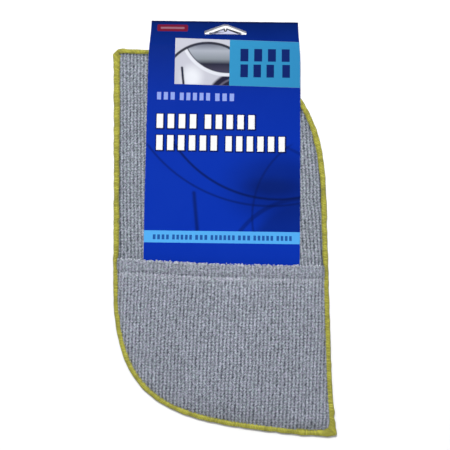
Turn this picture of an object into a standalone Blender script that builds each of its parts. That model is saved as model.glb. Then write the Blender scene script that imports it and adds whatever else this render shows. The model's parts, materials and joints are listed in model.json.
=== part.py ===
"""Hand-pocket wash mitt of ribbed microfibre cloth, with the folded hang card tucked in its pocket.

The mitt lies on its back: X runs across it, Y runs up towards the hang hole and Z is up. The origin is
on the surface that it lies on, under the middle of the whole object. The mitt is a leaf: two opposite
corners are pointed and two are round, and an overlocked edge runs from one pointed corner to the other
along each side. A second panel over the lower half makes the hand pocket, with a turned hem at its mouth.
"""
from math import cos, radians, sin

import bmesh
import bpy
from mathutils import Vector

MM = 0.001

# Leaf outline, seen from above, about the middle of the mitt.
UPPER_CORNER = Vector((-80.0, 142.7)) * MM      # the pointed corner at the upper left
LOWER_CORNER = Vector((80.0, -144.8)) * MM      # the pointed corner at the lower right
LEFT_SIDE_X = 78.8 * MM                         # distance of each straight side from the middle line
RIGHT_SIDE_X = 77.4 * MM
LEFT_FLARE = 130.0 * MM                         # how far each side splays out towards its pointed corner
RIGHT_FLARE = 60.0 * MM
TOP_SLOPE = 0.08                                # radians, fall of the top edge and of the bottom curve
BOTTOM_SLOPE = 0.122
LEFT_CURVE_START_Y = -34.7 * MM                 # where the left side turns into the lower left curve
LEFT_CURVE_END = Vector((62.0, -144.7)) * MM
LEFT_CURVE_PULLS = (96.4 * MM, 91.5 * MM)
RIGHT_CURVE_END_Y = 30.0 * MM                   # where the upper right curve turns into the right side
RIGHT_CURVE_START = Vector((-60.0, 141.3)) * MM
RIGHT_CURVE_PULLS = (109.5 * MM, 70.5 * MM)
EDGE_STATIONS = 45                              # points along each edge, corner to corner

# Cloth and its overlocked edge. Depths are measured inwards from the outline.
CLOTH = 3.0 * MM                                # thickness of one panel, pile included
BAND_DEPTH = 4.0 * MM                           # how far the overlock reaches onto the cloth
BAND_SKIN = 0.4 * MM                            # thickness of the looper threads
BAND_ROUND = 0.3 * MM
CLEAR = 0.4 * MM                                # gap between the band and the cloth that it wraps
RIM_DEPTH = BAND_SKIN + CLEAR                   # where the panels' edges start
FLAT_DEPTH = 5.0 * MM                           # the cloth is squeezed by the stitches up to here
FULL_DEPTH = 9.0 * MM                           # and has its full thickness from here on
THREAD_RADIUS = 0.2 * MM
MITRE_GAP = 0.3 * MM                            # each band stops this short of a pointed corner
NEEDLE_DEPTH = 4.5 * MM                         # the overlock's needle thread, just inside the band
NEEDLE_END_TRIM = 0.25                          # share of its last step that each of its ends leaves off
RIM_LOW = BAND_SKIN + CLEAR
RIM_HIGH = CLOTH - BAND_SKIN - CLEAR
RIM_SEAM = 1.35 * MM                            # top of the back panel's rim under the pocket panel
PANEL_GAP = 0.3 * MM

# Hand pocket.
HEM_RIGHT_Y = -22.75 * MM                       # the mouth's level at its right end
HEM_SAG = 0.35                                  # per metre, how the mouth rises towards the left
HEM_SAG_X = 65.0 * MM
HEM_ROWS = (0.0, 1.0 * MM, 8.0 * MM, 9.4 * MM, 11.0 * MM)   # rows from the mouth to below the stitch line
HEM_EXTRA = (0.5 * MM, 1.2 * MM, 1.2 * MM, -0.6 * MM, 0.0)  # how much thicker each row is than the panel
BOW_FADE_ROWS = 5                               # rows below the hem over which its bow fades out
STITCH_ROW = 3                                  # the hem's threads run in this row
THREAD_LIFT = 0.65 * MM                         # height of a hem thread's middle off the cloth
STITCH_GROOVE = 0.9 * MM                        # how far the stitch pulls the underside up
POCKET_SIDE_LEVEL = 3.7 * MM                    # underside of the pocket panel next to the seam
POCKET_MID_LEVEL = 8.8 * MM                     # and over the middle, with room for a hand's fingers
POCKET_SWELL_POWER = 3.2
POCKET_STATIONS = 22                            # rows from the hem to the lower corner
POCKET_FALL_FROM = 0.42                         # share of the way down at which the swell starts to fall
INNER_COLUMNS = 10                              # columns between the two squeezed rims
BOBBIN_INSET_COLUMNS = 2                        # the bobbin thread starts this many columns in
EDGE_COLUMNS = 2                                # columns on each side that belong to the squeezed rim

# Hang card: one board folded over the top of the mitt, its front leaf tucked in the pocket.
CARD_WIDTH = 114.3 * MM
CARD_LENGTH = 215.0 * MM
BOARD = 0.45 * MM
CARD_FOLD = Vector((4.4, 163.0)) * MM           # middle of the fold, in the mitt's frame
CARD_LEAN = radians(-1.4)                       # the card sits a little askew in the pocket
FOLD_LEVEL = 0.55 * MM                          # height of the fold's axis
FOLD_LIFT = 0.15 * MM                           # extra room between the two leaves at the fold
FOLD_GAP = 0.3 * MM                             # each leaf stops this short of the axis
FRONT_LEVEL = CLOTH + 0.3 * MM                  # underside of the front leaf where it lies on the cloth
BEND_Y = -20.0 * MM                             # from here the front leaf slopes down to the fold
RECESS_MARGIN = 1.5 * MM                        # room around the back leaf where the cloth gives way
RECESS_BEYOND = 20.0 * MM                       # the recess runs on past the fold
RECESS_DEPTH = BOARD + 0.3 * MM

# Delta hang hole through both leaves, and the tab left standing in the front one.
HOLE_HALF_WIDTH = 15.9 * MM
HOLE_BOTTOM_Y = -10.6 * MM
HOLE_SHOULDER_Y = -8.0 * MM
HOLE_APEX_Y = -2.4 * MM
HOLE_CROWN = 3.0 * MM                           # flat on top of the hole
HOLE_ROUND = 0.8 * MM
HOLE_X = 0.6 * MM
HOLE_CUT = 6.0 * MM                             # the hole's cutter reaches this far above and below the axis
TAB_HALF_WIDTH = 11.8 * MM
TAB_HEIGHT = 4.8 * MM
TAB_SPLIT_WIDTH = 0.8 * MM
TAB_SPLIT_DEPTH = 2.4 * MM
TAB_GAP = 0.3 * MM

# The whole object's middle along Y, so that the origin is under the middle of its box.
CARD_TOP_Y = CARD_FOLD.y + CARD_WIDTH / 2 * sin(-CARD_LEAN) - FOLD_GAP
CENTRE_Y = (CARD_TOP_Y + LOWER_CORNER.y) / 2

GREY = (0.27, 0.29, 0.34, 1.0)
YELLOW = (0.38, 0.38, 0.08, 1.0)
BLUE = (0.01, 0.03, 0.32, 1.0)
BOARD_GREY = (0.62, 0.62, 0.60, 1.0)
THREAD_GREY = (0.42, 0.44, 0.50, 1.0)


def clear_scene():
    for item in list(bpy.data.objects):
        bpy.data.objects.remove(item, do_unlink=True)


def new_collection(name):
    collection = bpy.data.collections.new(name)
    bpy.context.scene.collection.children.link(collection)
    return collection


def material(name, color, roughness):
    made = bpy.data.materials.new(name)
    made.use_nodes = True
    shader = made.node_tree.nodes["Principled BSDF"]
    shader.inputs["Base Color"].default_value = color
    shader.inputs["Roughness"].default_value = roughness
    shader.inputs["Metallic"].default_value = 0.0
    return made


def place(item, name, look, parent, collection):
    item.name = name
    item.data.materials.append(look)
    item.parent = parent
    collection.objects.link(item)
    return item


# Outline of the leaf

def side_points(start_y, end_y, straight_x, corner, flare, steps=24):
    """Points down a straight side, which splays out towards its pointed corner."""
    points = []
    for i in range(steps + 1):
        y = start_y + (end_y - start_y) * i / steps
        near = max(0.0, 1.0 - abs(corner.y - y) / flare)
        points.append(Vector((straight_x + (corner.x - straight_x) * near ** 2, y)))
    return points


def cubic(start, pull_out, pull_in, end, steps=60):
    points = []
    for i in range(steps + 1):
        t = i / steps
        u = 1 - t
        points.append(start * u ** 3 + pull_out * 3 * u * u * t + pull_in * 3 * u * t * t + end * t ** 3)
    return points


def left_edge():
    """From the upper corner down the left side, around the lower left curve to the lower corner."""
    side = side_points(UPPER_CORNER.y, LEFT_CURVE_START_Y, -LEFT_SIDE_X, UPPER_CORNER, LEFT_FLARE)
    start = side[-1]
    along = Vector((cos(BOTTOM_SLOPE), -sin(BOTTOM_SLOPE)))
    curve = cubic(start, start - Vector((0, LEFT_CURVE_PULLS[0])),
                  LEFT_CURVE_END - along * LEFT_CURVE_PULLS[1], LEFT_CURVE_END)
    return side + curve[1:] + [LOWER_CORNER]


def right_edge():
    """From the upper corner along the top, around the upper right curve and down to the lower corner."""
    side = side_points(RIGHT_CURVE_END_Y, LOWER_CORNER.y, RIGHT_SIDE_X, LOWER_CORNER, RIGHT_FLARE)
    along = Vector((cos(TOP_SLOPE), -sin(TOP_SLOPE)))
    curve = cubic(RIGHT_CURVE_START, RIGHT_CURVE_START + along * RIGHT_CURVE_PULLS[1],
                  side[0] + Vector((0, RIGHT_CURVE_PULLS[0])), side[0])
    return [UPPER_CORNER] + curve + side[1:]


def lengths(path):
    """Running length at each point of a path."""
    total = [0.0]
    for a, b in zip(path, path[1:]):
        total.append(total[-1] + (b - a).length)
    return total


def at_length(path, running, wanted):
    for i in range(1, len(path)):
        if wanted <= running[i] or i == len(path) - 1:
            span = running[i] - running[i - 1]
            return path[i - 1].lerp(path[i], (wanted - running[i - 1]) / span)
    return path[-1]


def resample(path, stations):
    """Points at the given running lengths."""
    running = lengths(path)
    return [at_length(path, running, s) for s in stations]


def even_stations(path, count):
    total = lengths(path)[-1]
    return [total * i / (count - 1) for i in range(count)]


def inset(path, depth, side, first_corner=None, last_corner=None):
    """Path moved inwards by depth. side is +1 when the cloth is on the left of the path.

    A corner end lies on the mitre between this path and the other edge's direction there.
    """
    moved = []
    for i, point in enumerate(path):
        before = (point - path[max(i - 1, 0)]).normalized() if i else None
        after = (path[i + 1] - point).normalized() if i < len(path) - 1 else None
        tangent = ((before or after) + (after or before)).normalized()
        moved.append(point + Vector((-tangent.y, tangent.x)) * side * depth)
    if first_corner is not None:
        moved[0] = mitre(path[0], (path[1] - path[0]).normalized(), first_corner, depth)
    if last_corner is not None:
        moved[-1] = mitre(path[-1], (path[-2] - path[-1]).normalized(), last_corner, depth)
    return moved


def mitre(corner, one_way, other_way, depth):
    """Point at the given depth from both edges that leave a corner."""
    sine = abs(one_way.cross(other_way))
    return corner + (one_way + other_way) * depth / sine


def edge_pair(depth, left, right):
    """Both edges at one depth, meeting at the two pointed corners."""
    left_start = (left[1] - left[0]).normalized()
    right_start = (right[1] - right[0]).normalized()
    left_end = (left[-2] - left[-1]).normalized()
    right_end = (right[-2] - right[-1]).normalized()
    return (inset(left, depth, 1, right_start, right_end), inset(right, depth, -1, left_start, left_end))


def hem_y(x):
    """Level of the pocket's mouth across the mitt."""
    return HEM_RIGHT_Y + HEM_SAG * (x - HEM_SAG_X) ** 2


# Solids from rows and columns

def slab(name, rows):
    """Closed solid from rows of (x, y, low, high) columns: a grid is laid out, welded and drawn up."""
    across = len(rows[0])
    mesh = bpy.data.meshes.new(name)
    form = bmesh.new()
    lift = form.verts.layers.float.new("lift")
    grid = bmesh.ops.create_grid(form, x_segments=across - 1, y_segments=len(rows) - 1, size=0.5)["verts"]
    for index, vert in enumerate(grid):
        x, y, low, high = rows[index // across][index % across]
        vert.co = (x, y, low)
        vert[lift] = high - low
    bmesh.ops.remove_doubles(form, verts=form.verts[:], dist=1e-6)
    drawn = bmesh.ops.extrude_face_region(form, geom=form.faces[:], use_keep_orig=True)["geom"]
    for item in drawn:
        if isinstance(item, bmesh.types.BMVert):
            item.co.z += item[lift]
    bmesh.ops.recalc_face_normals(form, faces=form.faces[:])
    form.to_mesh(mesh)
    form.free()
    return bpy.data.objects.new(name, mesh)


def swept(name, sections):
    """Closed tube through a list of sections, each a ring of points, with flat ends."""
    mesh = bpy.data.meshes.new(name)
    form = bmesh.new()
    rings = [[form.verts.new(point) for point in section] for section in sections]
    for one, two in zip(rings, rings[1:]):
        for i in range(len(one)):
            j = (i + 1) % len(one)
            form.faces.new((one[i], one[j], two[j], two[i]))
    form.faces.new(rings[0])
    form.faces.new(reversed(rings[-1]))
    bmesh.ops.recalc_face_normals(form, faces=form.faces[:])
    form.to_mesh(mesh)
    form.free()
    return bpy.data.objects.new(name, mesh)


def thread(name, points):
    """A sewing thread: a thin round tube along a polyline."""
    curve = bpy.data.curves.new(name, "CURVE")
    curve.dimensions = "3D"
    curve.bevel_depth = THREAD_RADIUS
    curve.bevel_resolution = 1
    curve.use_fill_caps = True
    spline = curve.splines.new("POLY")
    spline.points.add(len(points) - 1)
    for knot, point in zip(spline.points, points):
        knot.co = (*point, 1.0)
    return bpy.data.objects.new(name, curve)


# Cloth

def rim_top(point):
    """The back panel's rim is thinner where the pocket panel is sewn over it."""
    return RIM_SEAM if point.y < hem_y(point.x) + FULL_DEPTH else RIM_HIGH


def back_panel(left, right):
    """Whole leaf of cloth: squeezed rims at both edges and its full thickness between them."""
    depths = [edge_pair(depth, left, right) for depth in (RIM_DEPTH, FLAT_DEPTH, FULL_DEPTH)]
    rows = []
    for k in range(len(left)):
        halves = []
        for side in (0, 1):
            columns = [pair[side][k] for pair in depths]
            rim = [(p.x, p.y, RIM_LOW, rim_top(p)) for p in columns[:EDGE_COLUMNS]]
            halves.append(rim + [(columns[-1].x, columns[-1].y, 0.0, CLOTH)])
        rows.append(halves[0] + halves[1][::-1])
    return slab("back_panel", rows)


def mouth_length(edge, running):
    """Running length at which an edge crosses the line of the pocket's mouth."""
    above = [point.y - hem_y(point.x) for point in edge]
    i = next(k for k, height in enumerate(above) if height < 0.0)
    share = above[i - 1] / (above[i - 1] - above[i])
    return running[i - 1] + (running[i] - running[i - 1]) * share


def pocket_paths(left, right):
    """The two seams of the pocket, from its mouth to the lower corner, with as many rows on each."""
    paths = []
    for edge in (left, right):
        running = lengths(edge)
        start = mouth_length(edge, running)
        below = running[-1] - start - HEM_ROWS[-1]
        falls = [HEM_ROWS[-1] + below * i / POCKET_STATIONS for i in range(1, POCKET_STATIONS + 1)]
        paths.append(resample(edge, [start + fall for fall in list(HEM_ROWS) + falls]))
    return paths


def swell(w, k, count):
    """How far the pocket stands open at a place: full over the middle, nothing at the seams."""
    share = k / (count - 1)
    fall = max(0.0, (share - POCKET_FALL_FROM) / (1.0 - POCKET_FALL_FROM))
    return (1.0 - abs(2 * w - 1) ** POCKET_SWELL_POWER) * (1.0 - fall ** 2)


def pocket_rows(left, right):
    """Rows of the pocket panel, from its mouth to the lower corner."""
    left_end = (left[-2] - left[-1]).normalized()
    right_end = (right[-2] - right[-1]).normalized()
    depths = []
    for depth in (RIM_DEPTH, FLAT_DEPTH, FULL_DEPTH):
        depths.append((inset(left, depth, 1, last_corner=right_end),
                       inset(right, depth, -1, last_corner=left_end)))
    rows = []
    count = len(left)
    for k in range(count):
        extra = HEM_EXTRA[k] if k < len(HEM_EXTRA) else 0.0
        groove = STITCH_GROOVE if k == STITCH_ROW else 0.0
        rims = []
        for side in (0, 1):
            columns = [pair[side][k] for pair in depths[:EDGE_COLUMNS]]
            rims.append([(p.x, p.y, RIM_SEAM + PANEL_GAP, RIM_HIGH) for p in columns])
        one, two = depths[-1][0][k], depths[-1][1][k]
        middle = []
        for i in range(INNER_COLUMNS + 1):
            w = i / INNER_COLUMNS
            low = POCKET_SIDE_LEVEL + (POCKET_MID_LEVEL - POCKET_SIDE_LEVEL) * swell(w, k, count)
            spot = one.lerp(two, w)
            middle.append((spot.x, spot.y, low + groove, low + CLOTH + extra))
        rows.append(rims[0] + middle + rims[1][::-1])
    return bow_mouth(rows)


def bow_mouth(rows):
    """Lay the hem's rows along the mouth's bowed line, which fades out below the hem."""
    bowed = []
    for k, row in enumerate(rows):
        below_hem = max(0, k + 1 - len(HEM_ROWS))
        share = max(0.0, 1.0 - below_hem / BOW_FADE_ROWS)
        first, last = row[0], row[-1]
        changed = []
        for x, y, low, high in row:
            t = (x - first[0]) / (last[0] - first[0]) if last[0] != first[0] else 0.0
            chord = hem_y(first[0]) * (1 - t) + hem_y(last[0]) * t
            changed.append((x, y + (hem_y(x) - chord) * share, low, high))
        bowed.append(changed)
    return bowed


# Overlocked edge and threads

def trim_end(points, neighbours, amount):
    """Move an end section back along its path, so that it stops short of the corner's mitre."""
    return [point + (other - point).normalized() * amount for point, other in zip(points, neighbours)]


def overlock(name, edge, side, first_corner, last_corner):
    """Looper threads wrapped around the cloth's edge: a C section swept along the outline."""
    profile = [(0.0, BAND_ROUND), (BAND_ROUND, 0.0), (BAND_DEPTH, 0.0), (BAND_DEPTH, BAND_SKIN),
               (BAND_SKIN, BAND_SKIN), (BAND_SKIN, CLOTH - BAND_SKIN), (BAND_DEPTH, CLOTH - BAND_SKIN),
               (BAND_DEPTH, CLOTH), (BAND_ROUND, CLOTH), (0.0, CLOTH - BAND_ROUND)]
    lanes = {depth: inset(edge, depth, side, first_corner, last_corner) for depth, level in profile}
    sections = [[Vector((*lanes[depth][k], level)) for depth, level in profile] for k in range(len(edge))]
    sections[0] = trim_end(sections[0], sections[1], MITRE_GAP)
    sections[-1] = trim_end(sections[-1], sections[-2], MITRE_GAP)
    return swept(name, sections)


def needle_thread(name, edge, side, first_corner, last_corner):
    """The overlock's straight thread, on top of the cloth just inside the band."""
    level = RIM_HIGH + PANEL_GAP + THREAD_RADIUS
    points = [Vector((*p, level)) for p in inset(edge, NEEDLE_DEPTH, side, first_corner, last_corner)]
    points[0] = points[0].lerp(points[1], NEEDLE_END_TRIM)
    points[-1] = points[-1].lerp(points[-2], NEEDLE_END_TRIM)
    return thread(name, points)


def hem_threads(rows):
    """The hem's two threads, in the grooves that they pull above and below the cloth."""
    row = rows[STITCH_ROW][EDGE_COLUMNS:-EDGE_COLUMNS]
    over = [Vector((x, y, high + THREAD_LIFT)) for x, y, low, high in row]
    under = [Vector((x, y, low - THREAD_LIFT)) for x, y, low, high in row]
    bobbin = under[BOBBIN_INSET_COLUMNS:-BOBBIN_INSET_COLUMNS]
    return thread("hem_thread", over), thread("hem_bobbin_thread", bobbin)


# Hang card. Its own frame has X along the fold, Y up and out of the mitt, and Z = 0 on the fold's axis.

def outline_solid(name, points, low, high, rounding=0.0):
    """Flat outline drawn up between two levels, with its corners rounded."""
    curve = bpy.data.curves.new(name, "CURVE")
    curve.dimensions = "2D"
    curve.fill_mode = "BOTH"
    curve.extrude = (high - low) / 2
    spline = curve.splines.new("POLY")
    corners = round_corners(points, rounding) if rounding else points
    spline.points.add(len(corners) - 1)
    for knot, point in zip(spline.points, corners):
        knot.co = (point[0], point[1], 0.0, 1.0)
    spline.use_cyclic_u = True
    item = mesh_from_curve(name, curve)
    for vert in item.data.vertices:
        vert.co.z += (high + low) / 2
    return item


def round_corners(points, radius, steps=3):
    """Replace each corner by an arc that meets both sides."""
    rounded = []
    for i, corner in enumerate(points):
        back = (Vector(points[i - 1]) - Vector(corner)).normalized()
        ahead = (Vector(points[(i + 1) % len(points)]) - Vector(corner)).normalized()
        half = back.angle(ahead) / 2
        reach = radius * cos(half) / sin(half)
        start = Vector(corner) + back * reach
        end = Vector(corner) + ahead * reach
        centre = Vector(corner) + (back + ahead).normalized() * (radius / sin(half))
        for step in range(steps + 1):
            arm = (start - centre).lerp(end - centre, step / steps).normalized() * radius
            rounded.append(centre + arm)
    return rounded


def mesh_from_curve(name, curve):
    """Closed mesh object from a curve, its caps welded."""
    guide = bpy.data.objects.new(name + "_curve", curve)
    bpy.context.scene.collection.objects.link(guide)
    depsgraph = bpy.context.evaluated_depsgraph_get()
    mesh = bpy.data.meshes.new_from_object(guide.evaluated_get(depsgraph))
    bpy.data.objects.remove(guide, do_unlink=True)
    form = bmesh.new()
    form.from_mesh(mesh)
    bmesh.ops.remove_doubles(form, verts=form.verts[:], dist=1e-6)
    bmesh.ops.recalc_face_normals(form, faces=form.faces[:])
    form.to_mesh(mesh)
    form.free()
    mesh.name = name
    return bpy.data.objects.new(name, mesh)


def board(name, profile):
    """A leaf of board: a strip through (y, z) points across the card's width, drawn to its thickness."""
    half = CARD_WIDTH / 2
    mesh = bpy.data.meshes.new(name)
    form = bmesh.new()
    strip = bmesh.ops.create_grid(form, x_segments=1, y_segments=len(profile) - 1, size=half)["verts"]
    for index, vert in enumerate(strip):
        y, z = profile[index // 2]
        vert.co = (half if index % 2 else -half, y, z)
    form.to_mesh(mesh)
    form.free()
    leaf = bpy.data.objects.new(name, mesh)
    thick = leaf.modifiers.new("board", "SOLIDIFY")
    thick.thickness = BOARD
    thick.offset = 0.0
    thick.use_even_offset = True
    return leaf


def cut(item, cutter):
    tool = item.modifiers.new("cut_" + cutter.name, "BOOLEAN")
    tool.operation = "DIFFERENCE"
    tool.solver = "EXACT"
    tool.object = cutter


def hide_cutter(cutter, parent, collection):
    cutter.parent = parent
    cutter.hide_render = True
    cutter.display_type = "WIRE"
    collection.objects.link(cutter)
    return cutter


def front_slope():
    """Start of the slope, its end at the fold, and the slope's angle, in the card's frame."""
    flat = FRONT_LEVEL + BOARD / 2 - FOLD_LEVEL
    low = FOLD_LEVEL - BOARD / 2 + FOLD_LIFT
    angle = (flat - low) / (-BEND_Y - FOLD_GAP)
    return flat, low, angle


def card_front():
    flat, low, angle = front_slope()
    return board("card_front", [(-CARD_LENGTH, flat), (BEND_Y, flat), (-FOLD_GAP, low)])


def card_back():
    level = BOARD / 2 - FOLD_LEVEL
    return board("card_back", [(-CARD_LENGTH, level), (-FOLD_GAP, level)])


def hang_hole():
    """Delta outline of the hang hole, through both leaves."""
    points = [(HOLE_X - HOLE_HALF_WIDTH, HOLE_BOTTOM_Y), (HOLE_X + HOLE_HALF_WIDTH, HOLE_BOTTOM_Y),
              (HOLE_X + HOLE_HALF_WIDTH, HOLE_SHOULDER_Y), (HOLE_X + HOLE_CROWN / 2, HOLE_APEX_Y),
              (HOLE_X - HOLE_CROWN / 2, HOLE_APEX_Y), (HOLE_X - HOLE_HALF_WIDTH, HOLE_SHOULDER_Y)]
    return outline_solid("hang_hole", points, -HOLE_CUT, HOLE_CUT, HOLE_ROUND)


def hang_tab():
    """Low split triangle that closes part of the hang hole; its origin is on the crease at its foot."""
    points = [(-TAB_HALF_WIDTH, 0.0), (TAB_HALF_WIDTH, 0.0), (TAB_SPLIT_WIDTH / 2, TAB_HEIGHT),
              (0.0, TAB_HEIGHT - TAB_SPLIT_DEPTH), (-TAB_SPLIT_WIDTH / 2, TAB_HEIGHT)]
    return outline_solid("hang_tab", points, -BOARD / 2, BOARD / 2)


def recess():
    """Room for the back leaf under the cloth, open towards the fold."""
    bpy.ops.mesh.primitive_cube_add(size=1.0)
    block = bpy.context.active_object
    bpy.context.collection.objects.unlink(block)
    block.name = "card_recess"
    length = CARD_LENGTH + RECESS_MARGIN + RECESS_BEYOND
    for vert in block.data.vertices:
        vert.co.x *= CARD_WIDTH + 2 * RECESS_MARGIN
        vert.co.y = vert.co.y * length + RECESS_BEYOND - length / 2
        vert.co.z = RECESS_DEPTH - FOLD_LEVEL if vert.co.z > 0 else -2 * CLOTH
    return block


def empty(name, location, turn, parent):
    frame = bpy.data.objects.new(name, None)
    frame.location = location
    frame.rotation_euler = turn
    frame.parent = parent
    bpy.context.scene.collection.objects.link(frame)
    return frame


def build():
    clear_scene()
    parts = new_collection("wash_mitt")
    cutters = new_collection("wash_mitt_cutters")

    grey = material("ribbed_cloth", GREY, 0.95)
    yellow = material("overlock_thread", YELLOW, 0.8)
    thread_grey = material("sewing_thread", THREAD_GREY, 0.8)
    blue = material("printed_board", BLUE, 0.35)
    pale = material("plain_board", BOARD_GREY, 0.7)

    mitt = empty("mitt_frame", (0.0, -CENTRE_Y, 0.0), (0.0, 0.0, 0.0), None)
    card = empty("card_frame", (*CARD_FOLD, FOLD_LEVEL), (0.0, 0.0, CARD_LEAN), mitt)

    left = resample(left_edge(), even_stations(left_edge(), EDGE_STATIONS))
    right = resample(right_edge(), even_stations(right_edge(), EDGE_STATIONS))
    left_corners = ((right[1] - right[0]).normalized(), (right[-2] - right[-1]).normalized())
    right_corners = ((left[1] - left[0]).normalized(), (left[-2] - left[-1]).normalized())

    back = place(back_panel(left, right), "back_panel", grey, mitt, parts)
    rows = pocket_rows(*pocket_paths(left_edge(), right_edge()))
    place(slab("pocket_panel", rows), "pocket_panel", grey, mitt, parts)
    place(overlock("overlock_left", left, 1, *left_corners), "overlock_left", yellow, mitt, parts)
    right_band = place(overlock("overlock_right", right, -1, *right_corners),
                       "overlock_right", yellow, mitt, parts)
    place(needle_thread("overlock_left_needle", left, 1, *left_corners),
          "overlock_left_needle", yellow, mitt, parts)
    place(needle_thread("overlock_right_needle", right, -1, *right_corners),
          "overlock_right_needle", yellow, mitt, parts)
    over, under = hem_threads(rows)
    place(over, "hem_thread", thread_grey, mitt, parts)
    place(under, "hem_bobbin_thread", thread_grey, mitt, parts)

    hollow = hide_cutter(recess(), card, cutters)
    cut(back, hollow)
    cut(right_band, hollow)

    front = place(card_front(), "card_front", blue, card, parts)
    rear = place(card_back(), "card_back", blue, card, parts)
    hole = hide_cutter(hang_hole(), card, cutters)
    cut(front, hole)
    cut(rear, hole)

    flat, low, angle = front_slope()
    tab = place(hang_tab(), "hang_tab", pale, card, parts)
    foot = HOLE_BOTTOM_Y + TAB_GAP
    tab.location = (HOLE_X, foot, low + (-FOLD_GAP - foot) * angle)
    tab.rotation_euler = (-angle, 0.0, 0.0)


build()
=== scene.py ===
"""Looks of a ribbed microfibre wash mitt with a hang card in its pocket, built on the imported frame.

Lengths here are in millimetres and turn into metres when a mesh is made. The mitt's own middle is the
origin of the outline; MIDDLE is where that lies in the frame.
"""
import json
from math import atan, cos, pi, radians, sin, sqrt

import bmesh
import bpy
import numpy as np
from mathutils import Matrix, Vector
from mathutils.bvhtree import BVHTree


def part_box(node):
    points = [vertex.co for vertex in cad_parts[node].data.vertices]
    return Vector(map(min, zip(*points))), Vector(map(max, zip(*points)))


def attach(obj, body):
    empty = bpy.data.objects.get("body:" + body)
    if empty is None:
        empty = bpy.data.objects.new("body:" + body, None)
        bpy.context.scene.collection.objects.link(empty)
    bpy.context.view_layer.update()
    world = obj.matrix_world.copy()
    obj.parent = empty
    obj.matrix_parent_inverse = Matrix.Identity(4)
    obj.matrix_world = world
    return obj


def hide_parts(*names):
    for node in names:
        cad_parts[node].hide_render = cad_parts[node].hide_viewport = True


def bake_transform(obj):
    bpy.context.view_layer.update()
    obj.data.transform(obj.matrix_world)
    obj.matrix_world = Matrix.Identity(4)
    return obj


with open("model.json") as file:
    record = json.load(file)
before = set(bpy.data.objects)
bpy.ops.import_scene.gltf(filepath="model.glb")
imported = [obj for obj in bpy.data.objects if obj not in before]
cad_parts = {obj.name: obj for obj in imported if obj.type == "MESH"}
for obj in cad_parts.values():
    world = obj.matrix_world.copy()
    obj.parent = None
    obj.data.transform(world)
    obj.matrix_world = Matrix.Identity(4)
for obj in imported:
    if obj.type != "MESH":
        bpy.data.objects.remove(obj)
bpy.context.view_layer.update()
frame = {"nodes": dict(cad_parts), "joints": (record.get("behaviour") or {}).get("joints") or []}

MM = 0.001

# Outline of the leaf, about its own middle
UPPER_CORNER = np.array((-80.0, 142.7))
LOWER_CORNER = np.array((80.0, -144.8))
LEFT_SIDE_X = 78.8
RIGHT_SIDE_X = 77.4
LEFT_FLARE = 130.0
RIGHT_FLARE = 60.0
TOP_SLOPE = 0.08
BOTTOM_SLOPE = 0.122
LEFT_CURVE_START_Y = -34.7
LEFT_CURVE_END = np.array((62.0, -144.7))
LEFT_PULLS = (96.4, 91.5)
RIGHT_CURVE_END_Y = 30.0
RIGHT_CURVE_START = np.array((-60.0, 141.3))
RIGHT_PULLS = (109.5, 70.5)
MIDDLE = np.array((0.0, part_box("overlock_left")[0].y / MM - LOWER_CORNER[1]))
FIELD_STEP = 0.75           # grid of the table of depths inside the outline

# Cloth
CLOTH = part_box("back_panel")[1].z / MM
EDGE_THICKNESS = 0.5        # of the pocket panel where the edging presses it down
EDGE_DEPTH = 1.5            # the cloth rises between these two depths from its edge
FULL_DEPTH = 8.0
RIB_PITCH = 2.6
RIB_HEIGHT = 0.85
LOOP_LENGTH = 2.25
COLUMN_STEP = RIB_PITCH / 6
ROW_STEP = 0.68
GRID_X = 81.0               # the cloth's grids reach just past the outline
GRID_TOP = 144.0
GRID_END = -150.0
POCKET_REACH = 140.0        # length of the pocket's grids, down from its mouth
POCKET_LEAN = -0.052        # millimetres across per millimetre up
UPPER_BLUNT = 3.4           # how far each pointed corner is pressed back
LOWER_BLUNT = 0.7
CORNER_ROUND = 9.5          # radius of the pile's edge inside a pointed corner
BLUNT_REACH = 12.0          # threads this near a pointed corner are pressed back
BLUNT_SHARE = 0.96          # by this share of how far they stand past its end
CLOTH_CUT = 1.0             # depth at which the cloth's mesh ends, inside the overlock
CUT_SLACK = 0.7             # points this far past the cut are drawn back to it
HEM_RIGHT_Y = -23.8
HEM_SAG = 0.00035
HEM_SAG_X = 65.0
HEM_DEPTH = 9.6             # mouth to stitch line
HEM_NOSE = 2.2              # the turned edge's thickness is taken this far below the mouth
HEM_RIDGE = 1.8             # stitch line to the ridge of pile below it
HEM_EXTRA = 1.1             # thickness that the turned hem adds
LOOPS_HALF = 72.5           # the mouth's loops reach this far to each side
LOOP_RADIUS = 0.20
STITCH_HALF_LENGTH = 73.6   # the hem's stitches run from side to side

# Each pointed corner, with the directions into the leaf from the two sides that meet there
CORNER_SIDES = ((LOWER_CORNER, (-1.0, -0.09), (0.12, 1.0)),
                (UPPER_CORNER, (1.0, 0.01), (-0.08, -1.0)))

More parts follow.
